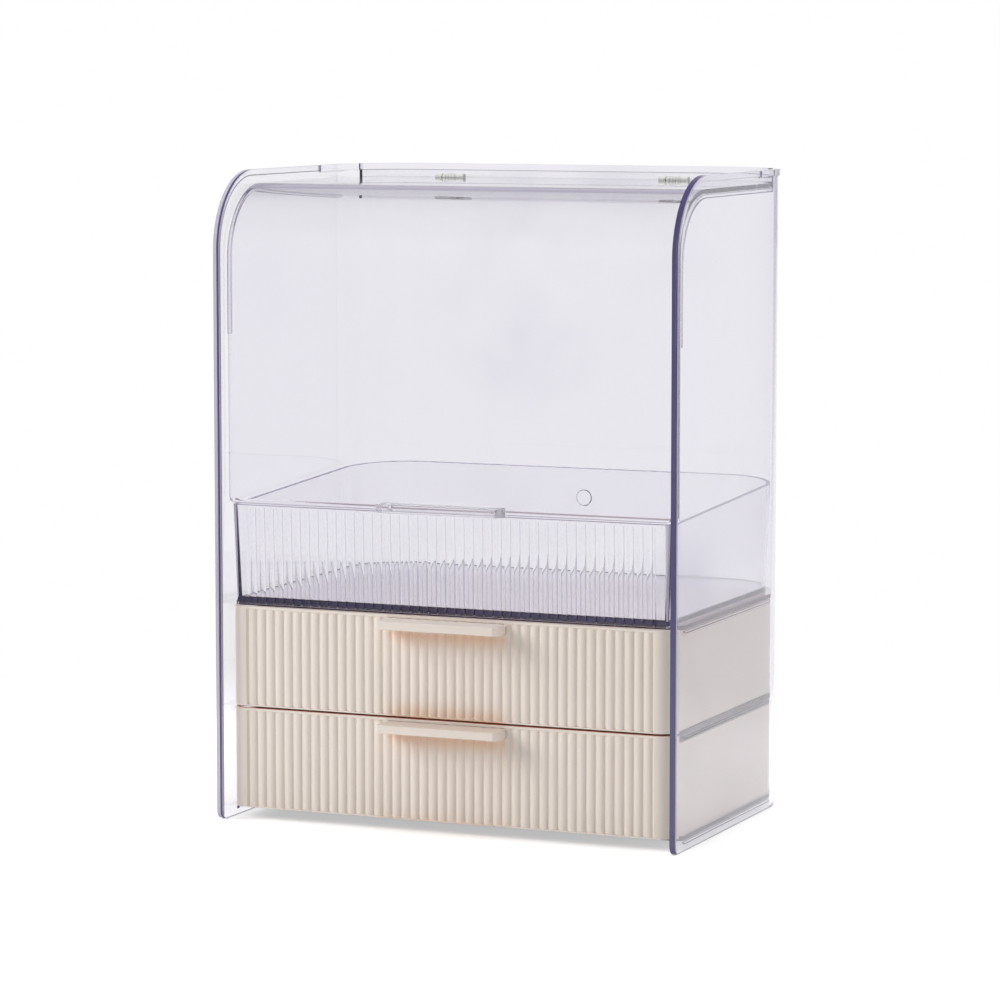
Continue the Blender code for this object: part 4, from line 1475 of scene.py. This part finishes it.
@dataclass
class Lid:
    """The clear curved lid with its handle."""

    layout: Layout
    hinges: Hinges
    thickness: float = 0.0024
    recess: float = 0.0070
    setback: float = 0.0064
    curve_radius: float = 0.0370
    corner_radius: float = 0.0040
    edge_height: float = 0.0026
    edge_proud: float = 0.0006
    open_angle: float = math.radians(110)
    skirt: float = 0.0016
    seam_gap: float = 0.0003
    handle_reach: float = 0.0130
    handle_overhang: float = 0.0010
    curve_steps: int = 28
    corner_steps: int = 8
    edge_round: float = 0.0004
    edge_steps: int = 3

    def side_view(self, low: float) -> Outline:
        """Give the lid from the side: flat top, quarter round, straight front with a round nose below.

        Args:
            low: The height of its lower edge.

        Returns:
            The outline.
        """
        lay = self.layout
        front = lay.front + self.setback
        centre = (front + self.curve_radius, lay.lid_top - self.curve_radius)
        back = lay.hinge_y - self.seam_gap
        inner = self.curve_radius - self.thickness
        nose_radius = self.edge_height / 2
        nose = (front - self.edge_proud + nose_radius, low + nose_radius)
        lean = math.degrees(math.acos((nose_radius - self.edge_proud) / nose_radius))
        return (
            [(back, lay.lid_top - self.thickness), (back, lay.lid_top)]
            + arc(centre, self.curve_radius, 90, 180, self.curve_steps)
            + arc(nose, nose_radius, 180 - lean, 270, self.corner_steps * 2)
            + [(front + self.thickness, low)]
            + arc(centre, inner, 180, 90, self.curve_steps)
        )

    def plan(self) -> Outline:
        """Give the lid from above: its rear corners are cut back to pass the housing's corners as it opens.

        Returns:
            The outline.
        """
        lay = self.layout
        half = lay.inner_x - lay.sliding_gap
        swept = self.recess / math.sin(self.open_angle)
        swept_y = lay.hinge_y - swept * math.cos(self.open_angle)
        radius = lay.inner_radius - lay.seat_gap - self.skirt - self.hinges.notch_clearance
        rear_half = lay.corner_centre[0] + math.sqrt(radius**2 - (swept_y - lay.corner_centre[1]) ** 2)
        rear_y = lay.hinge_y - swept - lay.sliding_gap
        right = [(half, lay.front - OVERRUN), (half, rear_y - half + rear_half), (rear_half, rear_y)]
        right.append((rear_half, lay.back))
        return right + mirrored(right)

    def front_view(self, low: float) -> Outline:
        """Give the lid from the front, with round lower corners.

        Args:
            low: The height of its lower edge.

        Returns:
            The outline.
        """
        lay = self.layout
        half = lay.inner_x - lay.sliding_gap
        corner = (half - self.corner_radius, low + self.corner_radius)
        right = arc(corner, self.corner_radius, 270, 360, self.corner_steps)
        right += [(half + OVERRUN, low + self.corner_radius), (half + OVERRUN, lay.height)]
        return right + mirrored(right)

    def build(self, material: Material, grip_material: Material) -> list[Item]:
        """Build the lid and its handle.

        Args:
            material: The lid's finish.
            grip_material: The handle's finish.

        Returns:
            The pieces.
        """
        lay = self.layout
        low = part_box("lid")[0].z
        wide = lay.half_width
        lid = Solid("curved_lid", Block(self.side_view(low), Axis.X, -wide, wide))
        lid.trim(Block(self.plan(), Axis.Z, 0, lay.height))
        lid.trim(Block(self.front_view(low), Axis.Y, lay.front - OVERRUN, lay.back + OVERRUN))
        lid.cut(*self.hinges.notches())
        lid.soften(self.edge_round, self.edge_steps)
        bar = Handle(edge_round=self.edge_round)
        top = low - self.handle_overhang + bar.root_height
        holes = bar.pegs(
            top - bar.peg_drop, bar.peg_radius + lay.seat_gap, lay.front - OVERRUN, lay.plate_front
        )
        lid.cut(*holes)
        root = (lay.front + self.setback - self.edge_proud, top)
        grip = bar.build("lid_grip", root, self.handle_reach, self.edge_proud + self.thickness)
        return [
            lid.dress(Body.LID, Slot.CLEAR_CASE, "lid", material),
            grip.dress(Body.LID, Slot.CLEAR_CASE, "lid_handle", grip_material),
        ]


@dataclass
class RearCap:
    """The rim over the rear of the walls, with a skirt inside them and the deck that holds the hinges."""

    layout: Layout
    hinges: Hinges
    rim_height: float = 0.0034
    arm_depth: float = 0.0606
    skirt_depth: float = 0.0116
    skirt: float = 0.0016
    sheet: float = 0.0024
    seam_gap: float = 0.0003
    edge_limit: float = -0.9
    edge_round: float = 0.0004
    edge_steps: int = 3

    def build(self, material: Material, edge: Material) -> Item:
        """Build the cap.

        Args:
            material: Its finish.
            edge: The painted pale highlight on its front ends.

        Returns:
            The piece.
        """
        lay = self.layout
        arm_y = lay.back - self.arm_depth
        outer_radius = lay.corner_radius + lay.bead_proud
        centre = (lay.half_width - outer_radius, lay.back - outer_radius)
        right = [(lay.half_width, arm_y)] + arc(centre, outer_radius, 0, 90, lay.corner_steps)
        levels = (lay.height - self.skirt_depth, lay.height)
        cap = Solid("rear_rim", Block(right + mirrored(right), Axis.Z, *levels))
        deck = lay.hinge_y + self.seam_gap - lay.corner_centre[1]
        deck_turn = math.degrees(math.asin(deck / lay.inner_radius))
        ahead = [(lay.inner_x, arm_y - OVERRUN)]
        ahead += arc(lay.corner_centre, lay.inner_radius, 0, deck_turn, lay.corner_steps)
        cap.cut(Block(ahead + mirrored(ahead), Axis.Z, 0, lay.height + OVERRUN))
        tub_x = lay.inner_x - lay.seat_gap
        wide = lay.half_width + OVERRUN
        spare = wide - tub_x
        outside = lay.band(
            wide, tub_x, lay.inner_y - lay.seat_gap + spare,
            lay.inner_radius - lay.seat_gap + spare, arm_y - OVERRUN,
        )
        cap.cut(Block(outside, Axis.Z, 0, lay.height - self.rim_height))
        recess = lay.insert(lay.seat_gap, arm_y, 0, self.skirt)
        cap.cut(
            Block(recess, Axis.Z, lay.lid_top, lay.height + OVERRUN),
            Block(recess, Axis.Z, 0, lay.lid_top - self.sheet),
        )
        cap.cut(*self.hinges.notches())
        cap.soften(self.edge_round, self.edge_steps)
        return cap.dress(Body.CASE, Slot.CLEAR_CASE, "rear_cap", material, EdgeFinish(edge, self.is_edge))

    def is_edge(self, middle: Vector, normal: Vector) -> bool:
        """Say whether a face is one of the arms' front ends, which are painted a pale highlight."""
        ahead = middle.y < self.layout.hinge_y + self.hinges.radius
        return ahead and normal.y < self.edge_limit and abs(middle.x) > self.layout.inner_x


@dataclass(frozen=True)
class Softbox:
    """A large soft lamp."""

    name: str
    place: Place
    size: float
    power: float

    def build(self, aim: Place) -> None:
        """Hang the lamp.

        Args:
            aim: The point that it faces.
        """
        lamp = bpy.data.lights.new(self.name, "AREA")
        lamp.shape = "SQUARE"
        lamp.size = self.size
        lamp.energy = self.power
        item = bpy.data.objects.new(self.name, lamp)
        bpy.context.scene.collection.objects.link(item)
        item.visible_glossy = False
        item.visible_transmission = False
        item.location = self.place
        item.rotation_euler = (Vector(aim) - Vector(self.place)).to_track_quat("-Z", "Y").to_euler()


@dataclass(frozen=True)
class Card:
    """A pale card in the surroundings, as a direction, the cosines where it fades in and its level."""

    direction: Place
    start: float
    full: float
    level: float


@dataclass
class Studio:
    """The floor, the white surroundings, the lamps and the camera."""

    floor_size: float = 12.0
    shadow_reach: float = 0.55
    shadow_core: float = 0.20
    floor_colour: Colour = (0.90, 0.90, 0.90)
    fibre_colour: Colour = (0.91, 0.91, 0.905)
    floor_lift: float = 0.48
    fill_level: float = 0.25
    dark_colour: Colour = (0.56, 0.54, 0.62)
    ceiling_colour: Colour = (0.16, 0.15, 0.19)
    cards: tuple[Card, ...] = (
        Card((-0.62, -0.55, 0.56), 0.55, 0.98, 0.28),
        Card((0.42, 0.90, -0.05), 0.95, 0.995, 0.64),
    )
    ceiling_level: float = 0.90
    backdrop_range: Point = (0.92, 0.985)
    ceiling_range: Point = (0.0, 0.09)
    dark_range: Point = (0.4, 0.8)
    paper_scale: float = 40.0
    lamps: tuple[Softbox, ...] = (
        Softbox("key lamp", (-1.50, -1.12, 1.10), 1.0, 26.0),
        Softbox("side lamp", (1.60, 0.30, 0.50), 0.9, 10.0),
        Softbox("top lamp", (0.10, 0.30, 1.60), 1.0, 14.0),
    )
    apex: Place = (0.82, -1.94, 0.39)
    azimuth: float = 22.97
    elevation: float = 6.31
    distance: float = 2.1173
    focal_pixels: float = 4110.2
    image_pixels: float = 1000.0
    sensor: float = 36.0
    target: Place = (-0.0062, 0.0040, 0.16005)
    bounces: int = 32

    def backward(self) -> Vector:
        """Give the direction from the case to the camera."""
        turn, rise = math.radians(self.azimuth), math.radians(self.elevation)
        return Vector((math.sin(turn) * math.cos(rise), -math.cos(turn) * math.cos(rise), math.sin(rise)))

    def seen_directly(self, nodes: NodeTree) -> Socket:
        """Give 1 where the background itself is seen, also in gloss and through glass.

        Args:
            nodes: The tree that asks.

        Returns:
            The socket.
        """
        path = nodes.add("ShaderNodeLightPath")
        mirror = nodes.maths("MAXIMUM", path.outputs["Is Camera Ray"], path.outputs["Is Glossy Ray"])
        seen = nodes.maths("MAXIMUM", mirror, path.outputs["Is Transmission Ray"])
        return nodes.maths("MULTIPLY", seen, nodes.maths("LESS_THAN", path.outputs["Diffuse Depth"], 0.5))

    def surroundings_group(self) -> Tree:
        """Build the tone of what lies in a direction: backdrop, ceiling, cards or the dim studio.

        Returns:
            The group, with the direction as the backdrop and as the cards count it, and the output Colour.
        """
        inputs = {"Way": (0.0, 0.0, 0.0), "Card Way": (0.0, 0.0, 0.0)}
        nodes, given, result = new_group("Surroundings", inputs, ("Colour",), "NodeSocketColor")
        way = given["Way"]
        onward = nodes.vectors("DOT_PRODUCT", way, -self.backward())
        backdrop = nodes.ramp(onward.outputs["Value"], *self.backdrop_range, 0.0, 1.0)
        height = nodes.add("ShaderNodeSeparateXYZ", {"0": way}).outputs[2]
        rising = nodes.ramp(height, *self.ceiling_range, 1.0, self.ceiling_level)
        bright = nodes.maths("MULTIPLY", backdrop, rising)
        for card in self.cards:
            near = nodes.vectors("DOT_PRODUCT", given["Card Way"], Vector(card.direction).normalized())
            pale = nodes.ramp(near.outputs["Value"], card.start, card.full, 0.0, card.level)
            bright = nodes.maths("MAXIMUM", bright, pale)
        above = nodes.ramp(height, *self.dark_range, 0.0, 1.0)
        dim = nodes.blend(above, shade(self.dark_colour), shade(self.ceiling_colour))
        nodes.link(nodes.blend(bright, dim, shade(WHITE)), result["Colour"])
        return nodes.tree

    def build_world(self, surroundings: Tree) -> None:
        """Make the backdrop white, the studio behind the camera dim, and the light on the case a soft fill.

        Args:
            surroundings: The group that gives the tone of a direction.
        """
        world = bpy.data.worlds.new("Studio")
        bpy.context.scene.world = world
        world.use_nodes = True
        world.node_tree.nodes.clear()
        nodes = NodeTree(world.node_tree)
        way = nodes.add("ShaderNodeTexCoord").outputs["Generated"]
        tone = nodes.add("ShaderNodeGroup", node_tree=surroundings)
        for title in ("Way", "Card Way"):
            nodes.link(way, tone.inputs[title])
        fill = nodes.add("ShaderNodeBackground", {"Color": shade(WHITE), "Strength": self.fill_level})
        white = nodes.add("ShaderNodeBackground", {"Color": tone.outputs[0], "Strength": 1.0})
        mixed = nodes.add(
            "ShaderNodeMixShader",
            {"0": self.seen_directly(nodes), "1": fill.outputs[0], "2": white.outputs[0]},
        )
        nodes.add("ShaderNodeOutputWorld", {"Surface": mixed.outputs[0]})

    def build_floor(self, surroundings: Tree) -> None:
        """Lay a pale floor that keeps the case's shadow and fades into the white around it.

        Args:
            surroundings: The group that gives the tone of a direction.
        """
        mesh = bmesh.new()
        bmesh.ops.create_grid(mesh, x_segments=1, y_segments=1, size=self.floor_size / 2)
        data = bpy.data.meshes.new("floor")
        mesh.to_mesh(data)
        mesh.free()
        floor = bpy.data.objects.new("floor", data)
        bpy.context.scene.collection.objects.link(floor)
        floor.location = (0, 0, -TINY)
        data.materials.append(self.floor_material(surroundings))

    def floor_material(self, surroundings: Tree) -> Material:
        """Build the floor's finish.

        Args:
            surroundings: The group that gives the tone of a direction.

        Returns:
            The material.
        """
        material = bpy.data.materials.new("Studio floor")
        material.use_nodes = True
        material.node_tree.nodes.clear()
        nodes = NodeTree(material.node_tree)
        place = nodes.add("ShaderNodeTexCoord").outputs["Object"]
        far = nodes.vectors("LENGTH", place).outputs["Value"]
        away = nodes.ramp(far, self.shadow_core, self.shadow_reach, 0.0, 1.0)
        paper = nodes.add("ShaderNodeTexNoise", {"Vector": place, "Scale": self.paper_scale, "Detail": 3.0})
        tone = nodes.blend(paper.outputs[0], shade(self.floor_colour), shade(self.fibre_colour))
        matt = nodes.add("ShaderNodeBsdfDiffuse", {"Color": tone})
        lift = nodes.add("ShaderNodeEmission", {"Strength": self.floor_lift})
        near = nodes.add("ShaderNodeAddShader", {"0": matt.outputs[0], "1": lift.outputs[0]})
        dim = nodes.add("ShaderNodeGroup", node_tree=surroundings)
        for title, start in (("Way", self.apex), ("Card Way", self.target)):
            way = nodes.vectors("NORMALIZE", nodes.vectors("SUBTRACT", place, start).outputs[0])
            nodes.link(way.outputs[0], dim.inputs[title])
        path = nodes.add("ShaderNodeLightPath")
        tone_away = nodes.blend(path.outputs["Is Camera Ray"], dim.outputs[0], shade(WHITE))
        white = nodes.add("ShaderNodeEmission", {"Color": tone_away, "Strength": 1.0})
        seen = nodes.add("ShaderNodeMixShader", {"0": away, "1": near.outputs[0], "2": white.outputs[0]})
        mixed = nodes.add(
            "ShaderNodeMixShader",
            {"0": self.seen_directly(nodes), "1": matt.outputs[0], "2": seen.outputs[0]},
        )
        nodes.add("ShaderNodeOutputMaterial", {"Surface": mixed.outputs[0]})
        return material

    def build_lamps(self) -> None:
        """Hang the lamps: a key at the upper left, a weak fill at the right and one from above."""
        for lamp in self.lamps:
            lamp.build(self.target)

    def build_camera(self) -> None:
        """Set up the camera at the photograph's angle."""
        camera = bpy.data.cameras.new("camera")
        camera.sensor_width = self.sensor
        camera.lens = self.sensor * self.focal_pixels / self.image_pixels
        camera.clip_end = self.floor_size
        item = bpy.data.objects.new("camera", camera)
        bpy.context.scene.collection.objects.link(item)
        back = self.backward()
        item.location = Vector(self.target) + back * self.distance
        item.rotation_euler = (-back).to_track_quat("-Z", "Y").to_euler()
        bpy.context.scene.camera = item

    def build(self) -> None:
        """Build the whole studio."""
        scene = bpy.context.scene
        scene.view_settings.view_transform = "Standard"
        scene.cycles.max_bounces = self.bounces
        scene.cycles.transmission_bounces = self.bounces
        scene.cycles.glossy_bounces = self.bounces
        scene.cycles.transparent_max_bounces = self.bounces
        surroundings = self.surroundings_group()
        self.build_world(surroundings)
        self.build_floor(surroundings)
        self.build_lamps()
        self.build_camera()


def main() -> None:
    """Build the case's pieces in order, then the studio."""
    logging.basicConfig(level=logging.INFO, format="%(name)s: %(message)s")
    finishes = Palette.build(Effects(moulded_skin_group(), light_wear_group()))
    layout = Layout.read()
    hinges = Hinges(layout)
    Housing(layout).build(finishes.case, finishes.case_edge_shade, finishes.pale_edge_highlight, finishes.plate_edge_shade)
    Shelves(layout).build(finishes.case, finishes.plate_edge_shade)
    RearCap(layout, hinges).build(finishes.case, finishes.pale_edge_highlight)
    Lid(layout, hinges).build(finishes.case, finishes.grip)
    hinges.build(finishes.milky)
    Tray(layout).build(finishes.tray, finishes.tray_floor_shade, finishes.pale_edge_highlight, finishes.rim_line_shade)
    Drawer(layout, Body.LOWER_DRAWER, 0).build(finishes.lower_cream)
    Drawer(layout, Body.UPPER_DRAWER, 1).build(finishes.upper_cream)
    Studio().build()


if __name__ == "__main__":
    main()
